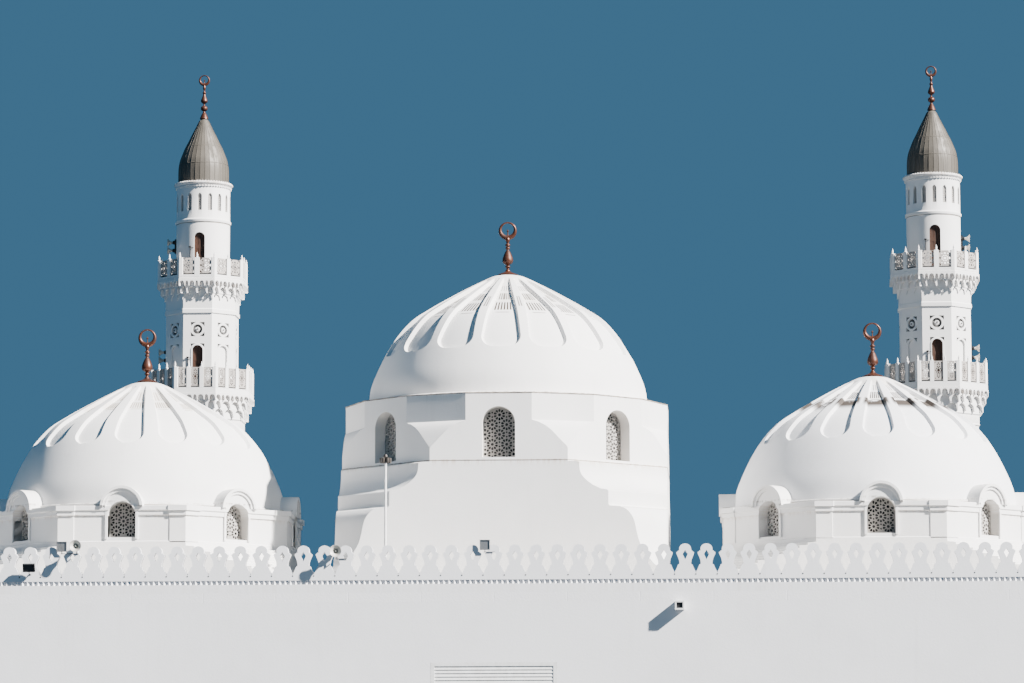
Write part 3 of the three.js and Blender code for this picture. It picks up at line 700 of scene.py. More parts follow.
def buildDome(name, x, foot, paint):
    s = {**domeSettings, **fluteSettings[name]}
    length = smoothCurve(s["outline"], 2)[1]
    # Rows of points stand closest together where the feet of the flutes turn
    low, (below, above, top) = s["footArc"], s["rowCounts"]
    rows = np.concatenate([
        np.linspace(0, low - 0.1, below), np.arange(low - 0.05, low + 0.8, s["footStep"]),
        np.linspace(low + 0.84, length - 0.7, above), np.linspace(length - 0.62, length, top),
    ])
    line = smoothCurve(s["outline"], rows)[0]
    radius, height = line[:, 0], line[:, 1]
    slope = np.gradient(line, rows, axis=0)
    outward = np.stack([slope[:, 1], -slope[:, 0]], 1)
    outward /= np.linalg.norm(outward, axis=1)[:, None]
    topArc = rows[np.argmax(radius < s["topRadius"])]
    sector = math.pi / s["flutes"]
    part = np.clip((rows - s["footArc"]) / (topArc - s["footArc"]), 0, 1)
    full = radius * sector
    half = (s["footShare"] + (s["topShare"] - s["footShare"]) * part) * full
    wall = np.minimum(s["wall"], half * 0.5)
    drop = np.clip(s["footArc"] + s["corner"] - rows, 0, s["corner"])
    edge = half - s["corner"] * (drop > 0) + np.sqrt(s["corner"] ** 2 - drop ** 2) * (drop > 0)
    edge = np.maximum(edge, 0.3 * half)
    columns = [(edge - wall) * share for share in s["floorColumns"]]
    columns += [edge - wall * share for share in s["wallColumns"]]
    columns += [edge + (full - edge) * share for share in s["ribColumns"]]
    columns = np.stack([-column for column in columns[:0:-1]] + columns + [full], 1)
    turns = np.repeat(2 * sector * np.arange(s["flutes"]), columns.shape[1]) - math.pi / 2
    x0 = np.tile(np.abs(columns), s["flutes"])
    angles = turns + np.tile(columns / radius[:, None], s["flutes"])
    across = x0 / full[:, None]
    qx = x0 - (half - s["corner"])[:, None]
    qy = np.broadcast_to((s["footArc"] + s["corner"] - rows)[:, None], x0.shape)
    outside = np.hypot(np.maximum(qx, 0), np.maximum(qy, 0)) + np.minimum(np.maximum(qx, qy), 0) - s["corner"]
    sides = np.where(rows[:, None] > s["footArc"] + s["corner"], half[:, None] - x0, -outside)
    inside = np.minimum(sides, (topArc - rows)[:, None] * 0.5)
    ease = np.clip(inside / (wall[:, None] + 1e-6), 0, 1)
    depth = s["depth"] * ease * np.clip(radius / 2.2, 0.55, 1)[:, None]
    r = radius[:, None] - depth * outward[:, 0][:, None]
    z = height[:, None] - depth * outward[:, 1][:, None] + foot
    outer = np.stack([r * np.cos(angles), r * np.sin(angles), z], 2)
    count = angles.shape[1]
    # The inside is a plain bowl
    widthShare, heightShare = 1 - s["thick"] / s["outline"][0][0], 1 - s["thick"] / s["crown"]
    innerLine = [(s["outline"][i][0] * widthShare, s["outline"][i][1] * heightShare) for i in (0, 3, 6, 9)]
    circle, level = np.stack([np.cos(angles[0]), np.sin(angles[0])], 1), np.ones((count, 1))
    inner = [np.hstack([ri * circle, (zi + foot) * level]) for ri, zi in innerLine]
    rings = inner[::-1] + list(outer)
    points, faces = loft(rings)
    points = np.vstack([points, [[0, 0, foot + s["crown"]], [0, 0, foot + s["crown"] - s["thick"]]]])
    last = (len(rings) - 1) * count
    faces = faces[:-2]
    faces += [(last + i, last + (i + 1) % count, len(points) - 2) for i in range(count)]
    faces += [((i + 1) % count, i, len(points) - 1) for i in range(count)]
    piece = makeObject(name, (points, faces), paint, (x, 0, 0))
    # How far across its flute and how far up the dome each point is, for the plaster's marks
    up = np.concatenate([np.zeros(len(innerLine)), rows / rows[-1]])
    across = np.vstack([across[:1]] * len(innerLine) + [across]).ravel()
    for label, values in (("across", across), ("up", np.repeat(up, count))):
        layer = piece.data.attributes.new(label, "FLOAT", "POINT")
        layer.data.foreach_set("value", np.concatenate([values, [1.0, 1.0]]).astype(np.float32))
    settle(piece, name + "_fluted", name, crease=50)


markSizes = {"lineHeight": 0.009, "lineHalf": 0.46, "dashHalf": 0.062}


# Marks of the tiles: lowest and highest share of the way up, places across a flute, half-width and strength
def tileMarks(line, rows):
    marks = [(line, line + markSizes["lineHeight"], (0.0,), markSizes["lineHalf"], 1.0)]
    for bottom, top, centres, strength in rows:
        marks.append((bottom, top, centres, markSizes["dashHalf"], strength))
    return marks


centralMarks = tileMarks(0.500, [
    (0.528, 0.625, (0.09, 0.27, 0.45), 1.0), (0.655, 0.745, (0.04, 0.2, 0.37), 0.85),
    (0.775, 0.84, (0.12, 0.36), 0.7),
]) + [(0.632, 0.638, (0.0,), 0.5, 0.7), (0.535, 0.66, (0.93,), 0.05, 0.8)]
leftMarks = tileMarks(0.645, [(0.662, 0.735, (0.09, 0.27, 0.45), 0.9), (0.755, 0.86, (0.05, 0.3), 0.7)])
rightMarks = tileMarks(0.69, [(0.71, 0.795, (0.09, 0.27, 0.45), 1.0), (0.81, 0.88, (0.15,), 0.8)])
# Each dome: its place and seat, then its tints, marks, ink, veil and whether it has soot
domePlaces = {"central": (0.0, 18.78), "left": (-16.056, 14.13), "right": (16.056, 14.13)}
domeLooks = {
    "central": ("warm", centralMarks, (0.06, 0.045, 0.035), (0.62, 0.9, 0.4), False),
    "left": ("warm", leftMarks, (0.28, 0.23, 0.18), (0.64, 0.95, 0.5), False),
    # The right dome's cooler tint is painted shade
    "right": ("coolShade", rightMarks, (0.03, 0.023, 0.02), (0.686, 0.95, 0.4), True),
}
domePaints = {}
for side, (tint, *look) in domeLooks.items():
    domePaints[side] = domeMaterial(side + "DomePlaster", plasterTints[tint], *look)
for side, (x, seat) in domePlaces.items():
    buildDome(side + "_dome", x, seat + gap, domePaints[side])
print("domes built")


def disc(x, z, radius, sides=8):
    turns = [2 * math.pi * i / sides for i in range(sides)]
    return [(x + radius * math.cos(a), z + radius * math.sin(a)) for a in turns]


def kite(x, z, degrees, near, wide, far, half):
    a = math.radians(degrees)
    return [(x + u * math.cos(a) - v * math.sin(a), z + u * math.sin(a) + v * math.cos(a))
            for u, v in ((near, 0), (wide, half), (far, 0), (wide, -half))]


# Lattice of ten-fold rosettes that fills a window: flat bars round small holes
latticeSettings = {
    "across": 0.61, "up": 0.837, "middleShare": 0.47, "petals": 10, "eye": 0.066, "outer": 0.325,
    "margin": 0.03, "thick": 0.06,
    "petal": [(0.105, 0), (0.162, 0.043), (0.222, 0.050), (0.252, 0), (0.222, -0.050), (0.162, -0.043)],
    "diamond": [(0.048, 0), (0, 0.052), (-0.048, 0), (0, -0.052)], "glassGap": 0.12, "rebate": 0.02,
}


def latticePart(half, foot, crown, y):
    s = latticeSettings
    outline = arch(half, foot, crown, 16)
    springing = crown - half
    holes = []

    def fits(loop):
        for px, pz in loop:
            if pz < foot + s["margin"] or abs(px) > half - s["margin"]:
                return False
            if pz > springing and math.hypot(px, pz - springing) > half - s["margin"]:
                return False
        return True

    def hole(cx, cz, shape):
        loop = [(cx + px, cz + pz) for px, pz in shape]
        if fits(loop):
            holes.append(loop)

    middle = foot + (crown - foot) * s["middleShare"]
    for row in range(-4, 5):
        for column in range(-3, 4):
            if (row + column) % 2:
                continue
            cx, cz = column * s["across"] / 2, middle + row * s["up"] / 2
            hole(cx, cz, disc(0, 0, s["eye"]))
            for k in range(s["petals"]):
                a = math.pi / 2 + 2 * math.pi * k / s["petals"]
                u, v = (math.cos(a), math.sin(a)), (-math.sin(a), math.cos(a))
                hole(cx, cz, [(u[0] * p + v[0] * q, u[1] * p + v[1] * q) for p, q in s["petal"]])
            for side in (-1, 1):
                hole(cx, cz + side * s["outer"], s["diamond"])
    return extruded([outline] + holes, y, y + s["thick"])


# The lattices and panes of a drum's eight windows; the near-black panes are painted shade for the dark rooms
# behind the glass
def windowFill(settings, y, at):
    s = latticeSettings
    rebate, back = s["rebate"], y + s["thick"] + s["glassGap"]
    half, foot, crown = settings["windowHalf"] + rebate, settings["sill"] - rebate, settings["crown"] + rebate
    lattice = latticePart(half, foot, crown, y)
    pane = extruded([arch(half, foot, crown, 16)], back, back + 0.02)
    return [inRing("lattices", lattice, latticeStone, 8, at), inRing("glass", pane, paneWithPaintedShade, 8, at)]


# Central tower: a square base with ogee shoulders, then an octagonal drum that becomes sixteen-sided
towerSettings = {
    "half": 7.04, "well": 5.75, "baseWell": (9, 17), "drumWell": (15, 20),
    "windowHalf": 0.695, "sill": 15.88, "crown": 18.04, "latticeDepth": 0.56,
    "baseOutline": [
        (7.04, 10.0 + gap), (7.04, 10.98), (6.80, 11.10), (6.46, 11.42), (6.22, 11.74), (6.07, 11.99),
        (5.94, 12.22), (5.86, 12.45), (5.80, 12.70), (5.76, 12.91), (5.72, 13.10), (5.66, 13.28),
        (5.59, 13.41), (5.50, 13.53), (5.39, 13.64), (5.25, 13.73), (5.04, 13.79), (4.66, 13.81),
        (4.62, 13.88), (4.62, 14.44), (4.56, 14.49), (4.30, 14.53), (4.09, 14.63), (3.95, 14.70),
        (3.84, 14.78), (3.70, 14.89), (3.58, 15.01), (3.48, 15.15), (3.42, 15.31), (3.40, 15.50),
        (3.40, 15.66), (3.28, 15.70), (2.916, 15.71), (2.916, 15.76),
    ],
    "drumOutline": [
        (2.916, 15.76 + gap), (2.916, 16.26), (2.86, 16.36), (2.66, 16.56), (2.46, 16.78), (2.22, 17.03),
        (1.98, 17.22), (1.70, 17.37), (1.40, 17.46), (1.40, 18.63),
    ],
    "seat": [(0, 18.4), (6.42, 18.4), (6.42, 18.72), (6.30, 18.78), (0, 18.78)],
    "topFlashing": [(7.03, 18.60), (7.055, 18.605), (7.055, 18.645), (6.9, 18.65)],
    "footFlashing": [(7.03, 15.745), (7.052, 15.75), (7.052, 15.775), (7.0, 15.78)],
}


weldWithin, windowBack = 1e-4, -5.2  # how close points are joined, and how far in the window cutters run


# A square or octagon with its corners cut off, so that each face is as wide as given
def steppedRing(faceHalf, half, height, sides):
    ring = []
    for k in range(sides):
        a = 2 * math.pi * k / sides
        for x in (-faceHalf, faceHalf):
            ring.append((x * math.cos(a) + half * math.sin(a), x * math.sin(a) - half * math.cos(a), height))
    return ring


def steppedMass(outline, sides, paint, at=(0, 0, 0)):
    return makeObject("mass", loft([steppedRing(*ring, sides) for ring in outline]), paint, at)


def cutWell(piece, radius, low, high, at, sides=16):
    well = turned([(0, low), (radius, low), (radius, high), (0, high)], sides)
    cutOut(piece, makeObject("well", well, creamAndBouncePlaster, at))


def windowCutters(settings, steps):
    opening = arch(settings["windowHalf"], settings["sill"], settings["crown"], steps)
    return around(extruded([opening], -settings["half"] - 1, windowBack), 8)


def buildTower():
    s, middle = towerSettings, (0, 0, 0)
    half = s["half"]
    base = steppedMass([(w, half, z) for w, z in s["baseOutline"]], 4, towerPlaster)
    tidyMesh(base.data, weldWithin)
    cutWell(base, s["well"], *s["baseWell"], middle)
    settle(base, "central_base_shoulders", "central_base", crease=18)

    drum = steppedMass([(w, half, z) for w, z in s["drumOutline"]], 8, towerPlaster)
    seat = makeObject("domeSeat", turned(s["seat"], 64), towerPlaster)
    cutWell(drum, s["well"], *s["drumWell"], middle)
    cutWell(seat, s["well"], *s["drumWell"], middle, 64)
    # The cut window reveals take the cream: painted bounce light
    cutOut(drum, makeObject("windows", windowCutters(s, 20), creamAndBouncePlaster))
    pieces = [drum, seat] + windowFill(s, -half + s["latticeDepth"], middle)
    for line, sides in (("topFlashing", 16), ("footFlashing", 8)):
        pieces.append(makeObject(line, turned(s[line], sides, True, True), grimeLine))
    settle(joinPieces("drum", pieces), "central_drum_windows", "central_drum", crease=18)


buildTower()
print("central tower built")


# Side drums: tiled corner slopes, panelled octagon with corner piers, two-step cornice and hooded windows
drumSettings = {
    "half": 6.6, "panel": 6.565, "well": 5.75, "wellHeights": (9, 16), "slopeFoot": 11.0, "drumFoot": 12.35,
    "steps": 11,
    "pierWidth": 0.68, "corniceFoot": 13.55, "corniceMiddle": 13.74, "corniceTop": 13.97,
    "cornice": (6.63, 6.69), "seatRadius": 6.28, "hoodBack": -5.86,
    "flashing": [(6.2, 14.01), (6.30, 14.015), (6.30, 14.045), (6.2, 14.05)],
    "windowHalf": 0.6, "sill": 12.62, "crown": 14.15, "latticeDepth": 0.47,
    # Widths outside and inside, foot, crowns outside and inside, and how far forward it stands
    "hoods": [
        (0.905, 0.80, 13.97, 14.81, 14.70, -6.80), (0.80, 0.69, 13.97, 14.70, 14.57, -6.72),
        (0.70, 0.60, 12.56, 14.57, 14.15, -6.645),
    ],
}


# A strip folded round a corner of the octagon, as wide as given on both faces
def aroundCorner(outer, inner, width, low, high):
    def flank(radius, side):
        corner = radius * eighth
        x, y, a = corner - width, -radius, math.pi / 4
        if side < 0:
            return (x, y)
        return (-x * math.cos(a) - y * math.sin(a), -x * math.sin(a) + y * math.cos(a))
    plan = [flank(outer, -1), (outer * eighth, -outer), flank(outer, 1)]
    plan += [flank(inner, 1), (inner * eighth, -inner), flank(inner, -1)]
    return loft([[(x, y, z) for x, y in plan] for z in (low, high)])


def hoodPart(outerHalf, innerHalf, foot, crown, innerCrown, front):
    outer = arch(outerHalf, foot, crown, 20)
    inner = arch(innerHalf, foot, innerCrown, 20)
    loop = outer[1:] + [outer[0]] + [inner[0]] + inner[:1:-1] + [inner[1]]
    return extruded([loop], front, drumSettings["hoodBack"])


# Rings of the square mass (half-width of a face, distance out, height): steps, octagon and cornice
def drumOutline():
    s = drumSettings
    half, panel, (first, second) = s["half"], s["panel"], s["cornice"]
    corner, slope, foot, top = half * eighth, s["slopeFoot"], s["drumFoot"], s["corniceTop"]
    rise, run = (foot - slope) / s["steps"], (half - corner) / s["steps"]
    outline = [(half, half, 10.0 + gap), (half, half, slope)]
    for i in range(s["steps"]):
        width = half - run * (i + 1)
        outline += [(width, half, slope + rise * i + 0.03), (width + 0.01, half, slope + rise * (i + 1))]
    outline += [(corner, half, foot), (corner, half, foot + 0.09)]
    low, middle = s["corniceFoot"], s["corniceMiddle"]
    for radius, level in (
        (panel, foot + 0.12), (panel, low), (first, low + 0.02), (first, middle), (second, middle + 0.04),
        (second, top - 0.02), (second - 0.03, top),
    ):
        outline.append((radius * eighth, radius, level))
    return outline


def buildSideDrum(side):
    s, name = drumSettings, side + "_drum"
    x, seatTop = domePlaces[side]
    at = (x, 0, 0)
    half, panel, (first, second) = s["half"], s["panel"], s["cornice"]
    mass = steppedMass(drumOutline(), 4, drumPlaster, at)
    tidyMesh(mass.data, weldWithin)
    cutWell(mass, s["well"], *s["wellHeights"], at)
    inner, rim, low = s["well"] + 0.02, s["seatRadius"], s["corniceTop"] - 0.3
    seatLine = [(inner, low), (rim, low), (rim, seatTop - 0.02), (rim - 0.06, seatTop), (inner, seatTop)]
    seat = makeObject("domeSeat", turned(seatLine, 64, True), drumPlaster, at)
    flashing = makeObject("flashing", turned(s["flashing"], 64, True), grimeLine, at)
    # The cut window reveals take the cream: painted bounce light
    for cut in (mass, seat, flashing):
        cutOut(cut, makeObject("windows", windowCutters(s, 16), creamAndBouncePlaster, at))
    wide = s["pierWidth"]
    piers = combined(
        aroundCorner(half, panel - 0.03, wide, s["drumFoot"] + 0.05, s["corniceFoot"] + 0.03),
        aroundCorner(first + 0.04, first - 0.05, wide + 0.05, s["corniceFoot"], s["corniceMiddle"]),
        aroundCorner(second + 0.05, second - 0.05, wide + 0.11, s["corniceMiddle"] + 0.01, s["corniceTop"]),
    )
    parts = [mass, seat, flashing, inRing("piers", piers, drumPlaster, 8, at)]
    for hood in s["hoods"]:
        parts.append(inRing("hoods", hoodPart(*hood), drumPlaster, 8, at))
    parts += windowFill(s, -half + s["latticeDepth"], at)
    settle(joinPieces(name, parts), name + "_windows", name, crease=24)


buildSideDrum("left")
buildSideDrum("right")
print("side drums built")


# Minarets: octagonal shafts with carved faces, arcaded corbels, pierced railings, a turret and a seamed cap
minaretSettings = {
    "x": 22.55, "y": 64.0, "lower": 2.49, "upper": 2.125, "wall": 0.35, "lowerFoot": 13.0 + gap,
    "doorHalf": 0.335, "doorSill": 0.05, "doorRise": 2.7, "upperDoorRise": 2.85, "leafDepth": 0.16,
    "lampRise": 1.93, "turret": 1.65, "turretWall": 0.3,
    "turretLine": [
        (1.65, 33.4 + gap), (1.65, 36.94), (1.70, 36.98), (1.72, 37.05), (1.72, 37.12), (1.66, 37.19),
        (1.65, 37.21), (1.65, 39.14), (1.68, 39.16), (1.69, 39.26), (1.78, 39.34), (1.82, 39.38),
        (1.83, 39.44), (1.80, 39.48),
    ],
    "ringLine": [(1.645, 36.91), (1.662, 36.915), (1.662, 36.945), (1.645, 36.95)], "turretTop": 39.48,
    "slots": 16, "slotHalf": 0.13, "slotFoot": 37.68, "slotHead": 38.76, "grille": (-1.55, -1.51),
    "grilleEye": 0.036, "eyeColumns": (-0.056, 0.056), "eyePitch": 0.115, "dentils": 60,
    "dentilBlocks": [(-0.045, 0.045, -1.74, -1.64, 39.18, 39.25), (-0.04, 0.04, -1.73, -1.64, 39.47, 39.535)],
}
# Each tier of arches: front, core, foot, top, crown of the arches and the widths of the arches on a face
balconies = {
    "lower": {
        "floor": 26.48, "reach": 3.06, "mouth": 1.75, "slab": 0.4, "rail": 1.305, "kerb": 0.05,
        "panels": (-0.795, 0.0, 0.795), "panelHalf": 0.283,
        "mouldings": [
            (2.49, 24.0), (2.56, 24.03), (2.56, 24.10), (2.52, 24.14), (2.54, 24.2), (2.54, 24.62),
            (2.60, 24.70),
        ],
        "tiers": [
            (2.77, 2.58, 24.79, 25.33, 25.25, (1, 1, 1)), (2.94, 2.74, 25.31, 25.79, 25.72, (0.7, 1, 1, 0.7)),
            (3.09, 2.88, 25.77, 26.16, 26.09, (1.2, 0.8, 1.2, 0.8, 1.2, 0.8, 1.2)),
        ],
    },
    "upper": {
        "floor": 33.4, "reach": 2.64, "mouth": 1.3, "slab": 0.35, "rail": 1.18, "kerb": 0.13,
        "panels": (-0.52, 0.52), "panelHalf": 0.38,
        "mouldings": [(2.125, 31.19), (2.20, 31.22), (2.20, 31.44), (2.15, 31.50)],
        "tiers": [
            (2.24, 2.16, 32.05, 32.43, 32.36, (1, 1, 1)), (2.48, 2.28, 32.41, 32.86, 32.79, (0.7, 1, 1, 0.7)),
            (2.67, 2.46, 32.835, 33.27, 33.15, (1.2, 0.8, 1.2, 0.8, 1.2, 0.8, 1.2)),
        ],
    },
}
railingSettings = {
    "post": 0.13, "postMiddle": 0.075, "plateFront": 0.062, "plateThick": 0.08, "slot": 0.085, "holes": 1.36,
}
postLine = [
    (0, -0.02), (0.075, -0.02), (0.075, 0), (0.085, 0.025), (0.05, 0.06), (0.045, 0.10), (0.06, 0.15),
    (0.05, 0.2), (0.025, 0.26), (0.018, 0.32), (0, 0.345),
]


archFullness, pierShare = 2.6, 0.10  # 2 is a round arch and more is fuller; a pier's share of a bay


# A strip whose lower edge is cut into arches
def arcade(front, foot, top, crown, bays, depth):
    half = front * eighth
    unit = 2 * half / sum(bays)
    edge, x = [(-half, foot)], -half
    for bay in bays:
        pier = pierShare * unit
        left, width = x + pier / 2, bay * unit - pier
        for u in np.linspace(0, 1, 11):
            bow = math.sqrt(max(0.0, 1 - abs(2 * u - 1) ** archFullness))
            edge.append((left + u * width, foot + (crown - foot) * bow))
        x += bay * unit
    return extruded([edge + [(half, foot), (half, top), (-half, top)]], -front, -front + depth)


# The profile of a shaft from its foot to the floor of the balcony that it carries
def shaftLine(inner, foot, balcony):
    s = balconies[balcony]
    line = [(inner, foot), (s["mouldings"][0][0], foot)] + s["mouldings"]
    for _, core, low, top, _, _ in s["tiers"]:
        line += [(core, low + 0.01), (core, top - 0.02)]
    reach, floor, mouth, under = s["reach"], s["floor"], s["mouth"], s["floor"] - s["slab"]
    last = s["tiers"][-1][3]
    line += [(reach - 0.04, last - 0.02), (reach, last + 0.02), (reach, floor - 0.03), (reach - 0.02, floor)]
    return line + [(mouth, floor), (mouth, under), (inner, under)]


def corbelArches(balcony, at):
    arches = []
    for front, core, low, top, crown, bays in balconies[balcony]["tiers"]:
        tier = arcade(front, low, top, crown, bays, front - core + 0.02)
        arches.append(inRing("arches", tier, shaftPlaster, 8, at))
    return arches


# Openings of a panel: discs, kites about a middle and a triangle in each corner
panelPattern = {
    "upper": {
        "discs": [(0, 0, 0.062), (0, 0.30, 0.05), (0, -0.30, 0.05), (0.285, 0, 0.05), (-0.285, 0, 0.05)],
        "kites": [(0, 22.5 + 45 * k, 0.105, 0.165, 0.225, 0.042) for k in range(8)]
        + [(0, turn, 0.275, 0.34, 0.40, 0.04) for turn in (57, 123, 237, 303)],
        "corner": (0.345, 0.455, 0.17),
    },
    "lower": {
        "discs": [(0, 0, 0.065), (0, 0.145, 0.035), (0, -0.145, 0.035), (0, 0.44, 0.035), (0, -0.44, 0.035),
                  (0.17, 0, 0.035), (-0.17, 0, 0.035)],
        "kites": [(0, 45 + 90 * k, 0.095, 0.15, 0.205, 0.04) for k in range(4)]
        + [(rise, 45 + 90 * k, 0.035, 0.09, 0.145, 0.038) for rise in (-0.29, 0.29) for k in range(4)],
        "corner": (0.235, 0.52, 0.11),
    },
}


def panelHoles(x, z, balcony):
    pattern, wider = panelPattern[balcony], railingSettings["holes"]
    holes = [disc(x + u, z + v, radius * wider, 10) for u, v, radius in pattern["discs"]]
    for rise, *shape, half in pattern["kites"]:
        holes.append(kite(x, z + rise, *shape, half * wider))
    across, up, leg = pattern["corner"]
    for u in (-1, 1):
        for v in (-1, 1):
            side, level = x + u * across, z + v * up
            holes.append([(side, level), (side - u * leg, level), (side, level - v * leg)][::u * v])
    return holes


def buildRailing(name, balcony, at):
    s = {**balconies[balcony], **railingSettings}
    reach, foot, top = s["reach"], s["floor"] + gap, s["floor"] + s["rail"]
    half, plateFront = reach * eighth, reach - s["plateFront"]
    plateFoot, edge = foot + s["kerb"] + s["slot"], plateFront * eighth
    outline = rectangle(-edge, edge, plateFoot, top - 0.02)
    holes = [hole for x in s["panels"] for hole in panelHoles(x, (plateFoot + top) / 2, balcony)]
    plate = extruded([outline] + holes, -plateFront, -plateFront + s["plateThick"])
    kerb = block(-half + 0.1, half - 0.1, -reach + 0.003, -reach + s["post"] - 0.003, foot, foot + s["kerb"])
    piers, posts = [], []
    for before, after in zip(s["panels"], s["panels"][1:]):
        x, wide = (before + after) / 2, (after - before) / 2 - s["panelHalf"]
        piers.append(block(x - wide, x + wide, -reach, -reach + s["post"], foot, top))
        posts.append(moved(turned(postLine, 10), (x, -reach + s["postMiddle"], top)))
    corner = aroundCorner(reach, reach - s["post"], half - s["panels"][-1] - s["panelHalf"], foot, top)
    a, away = math.pi / 8, (reach - s["postMiddle"]) / math.cos(math.pi / 8)
    posts.append(moved(turned(postLine, 10), (away * math.sin(a), -away * math.cos(a), top)))
    near, far, level = -plateFront + 0.02, -plateFront + s["plateThick"], foot + s["kerb"]
    # Dark blocks behind the slots under the plates are painted shade, so that the slots read dark
    slots = [block(x - s["panelHalf"], x + s["panelHalf"], near, far, level, plateFoot) for x in s["panels"]]
    face = inRing(name, combined(kerb, corner, *piers, *posts), shaftPlaster, 8, at)
    plates = inRing(name, plate, fretStone, 8, at)
    shadows = inRing(name, combined(*slots), darkPaintAndShade, 8, at)
    deckLine = rectangle(s["mouth"] + 0.3, reach - s["post"] - 0.01, foot, foot + 0.012)
    deck = makeObject("deck", turned(deckLine, 8, True, True), roofScreed, at)
    settle(joinPieces(name, [face, plates, shadows, deck]), name + "_panels", name, crease=30)


# Carving of a shaft's face: a roundel between four triangles, over a door or a blind arch with two more
carvingSettings = {
    "foot": 26.58, "crown": 29.23, "middle": 30.21, "across": 0.43, "up": 0.44, "legs": (0.36, 0.29),
    "depth": 0.2, "headGap": 0.10, "headLegs": (0.31, 0.27), "ring": (0.14, 0.30, 0.12), "archHalf": 0.31,
    "archDepth": 0.12,
    "boss": [
        (0, 0), (0.125, 0), (0.125, 0.06), (0.10, 0.085), (0.075, 0.07), (0.06, 0.07), (0.045, 0.09),
        (0, 0.10),
    ],
    "eye": [(0, 0.08), (0.048, 0.08), (0.048, 0.112), (0, 0.112)], "bossDepth": 0.07,
}


# The cutters of one face, and the thin grey liners at the bottoms of its recesses, which are painted shade
def carvedFace(front, blind):
    s = carvingSettings
    cuts, shadeLiners = [], []
    corners = [(u, v, s["middle"] + v * s["up"], s["legs"]) for u in (-1, 1) for v in (-1, 1)]
    corners += [(u, 1, s["crown"] + s["headGap"], s["headLegs"]) for u in (-1, 1)]
    for u, v, z, (wide, high) in corners:
        cave = [(u * s["across"], z)]
        for t in np.linspace(0, 1, 6):
            cave.append((u * (s["across"] - wide * (1 - t) ** 1.25), z - v * high * t ** 1.25))
        cuts.append(extruded([cave], -front - 0.05, -front + s["depth"]))
        shadeLiners.append(extruded([cave], -front + s["depth"] - 0.09, -front + s["depth"] - 0.01))
    near, far, deep = s["ring"]
    place, above = (0, -front + deep, s["middle"]), (0, -front + deep - 0.001, s["middle"])
    cuts.append(facingFront(rectangle(near, far, 0, deep + 0.05), 28, place, True))
    shadeLiners.append(facingFront(rectangle(near, far, 0, 0.012), 28, above, True))
    if blind:
        niche = arch(s["archHalf"], s["foot"], s["crown"], 14)
        cuts.append(extruded([niche], -front - 0.05, -front + s["archDepth"]))
    return combined(*cuts), combined(*shadeLiners)


# The leaf's raised rails leave openings in columns, with margins under and over them
doorPanels = {"columns": (-0.14, 0.14), "rows": 4, "half": 0.09, "tall": 0.4, "margins": (0.12, 0.75)}


def buildDoor(name, front, foot, rise, at):
    s = minaretSettings
    half, crown, y = s["doorHalf"] - gap, foot + rise - gap, -front + s["leafDepth"]
    low = foot + gap
    leaf = extruded([arch(half, low, crown, 14)], y + 0.015, y + 0.06)
    loops = [arch(half, low, crown, 14)]
    wide, tall, (under, over) = doorPanels["half"], doorPanels["tall"], doorPanels["margins"]
    for x in doorPanels["columns"]:
        for z in np.linspace(low + under, crown - over, doorPanels["rows"]):
            loops.append([(x - wide, z), (x - wide, z + tall), (x + wide, z + tall), (x + wide, z)])
    rails = extruded(loops, y, y + 0.02)
    door = makeObject(name, combined(leaf, rails), doorWood, at)
    settle(door, name + "_leaf", name, crease=30)


# A small lamp on a post beside a door
lampBlocks = {
    "arm": (-0.62, -0.36, -0.07, -0.04, 0.0, 0.03), "post": (-0.59, -0.56, -0.07, 0.02, -0.9, 0.06),
    "head": (-0.66, -0.52, -0.16, -0.02, 0.02, 0.09),
}


def doorLamp(front, level, at):
    blocks = [block(x0, x1, y0 - front, y1 - front, level + z0, level + z1)
              for x0, x1, y0, y1, z0, z1 in lampBlocks.values()]
    return makeObject("doorLamp", combined(*blocks), darkPaintAndShade, at)


# Cuts a doorway and returns its outline
def cutDoorway(piece, foot, rise, front, back, at):
    way = arch(minaretSettings["doorHalf"], foot, foot + rise, 14)
    cutOut(piece, makeObject("doorway", extruded([way], front, back), shaftPlaster, at))
    return way


def buildShafts(name, at):
    s, carved = minaretSettings, carvingSettings
    line = shaftLine(s["lower"] - s["wall"], s["lowerFoot"], "lower")
    lower = makeObject("shaft", turned(line, 8, True, True), shaftPlaster, at)
    shaft = joinPieces("shaft", [lower] + corbelArches("lower", at))
    settle(shaft, name + "lower_shaft_arcades", name + "lower_shaft", crease=24)

    foot, front = balconies["lower"]["floor"] + gap, s["upper"]
    line = shaftLine(front - s["wall"], foot, "upper")
    upper = makeObject("shaft", turned(line, 8, True, True), shaftPlaster, at)
    doorFace, shadeLiner = carvedFace(front, False)
    carving = [doorFace] + [spun(carvedFace(front, True)[0], 45 * k) for k in range(1, 8)]
    cutOut(upper, makeObject("carving", combined(*carving), shaftPlaster, at))
    sill = foot + s["doorSill"]
    inner = cutDoorway(upper, sill, s["doorRise"], -front - 1, -front + 0.7, at)
    place = (0, -front + carved["bossDepth"], carved["middle"])
    bosses = inRing("bosses", facingFront(carved["boss"], 16, place), shaftPlaster, 8, at)
    eye = facingFront(carved["eye"], 12, place)
    # The liners and the eyes on the bosses are painted shade: dark grey in the hollows and at the middle of
    # each roundel
    shadeLiners = inRing("shadeLiners", combined(shadeLiner, eye), paintedShadeGrey, 8, at)
    outer = arch(s["doorHalf"] + 0.06, foot, foot + s["doorRise"] + 0.11, 14)
    rim = extruded([outer, inner[::-1]], -front - 0.03, -front + 0.05)
    pieces = [upper, bosses, shadeLiners, makeObject("architrave", rim, shaftPlaster, at)]
    pieces += [doorLamp(front, foot + s["lampRise"], at)] + corbelArches("upper", at)
    settle(joinPieces("shaft", pieces), name + "upper_shaft_carving", name + "upper_shaft", crease=24)
    buildDoor(name + "lower_door", front, sill, s["doorRise"], at)


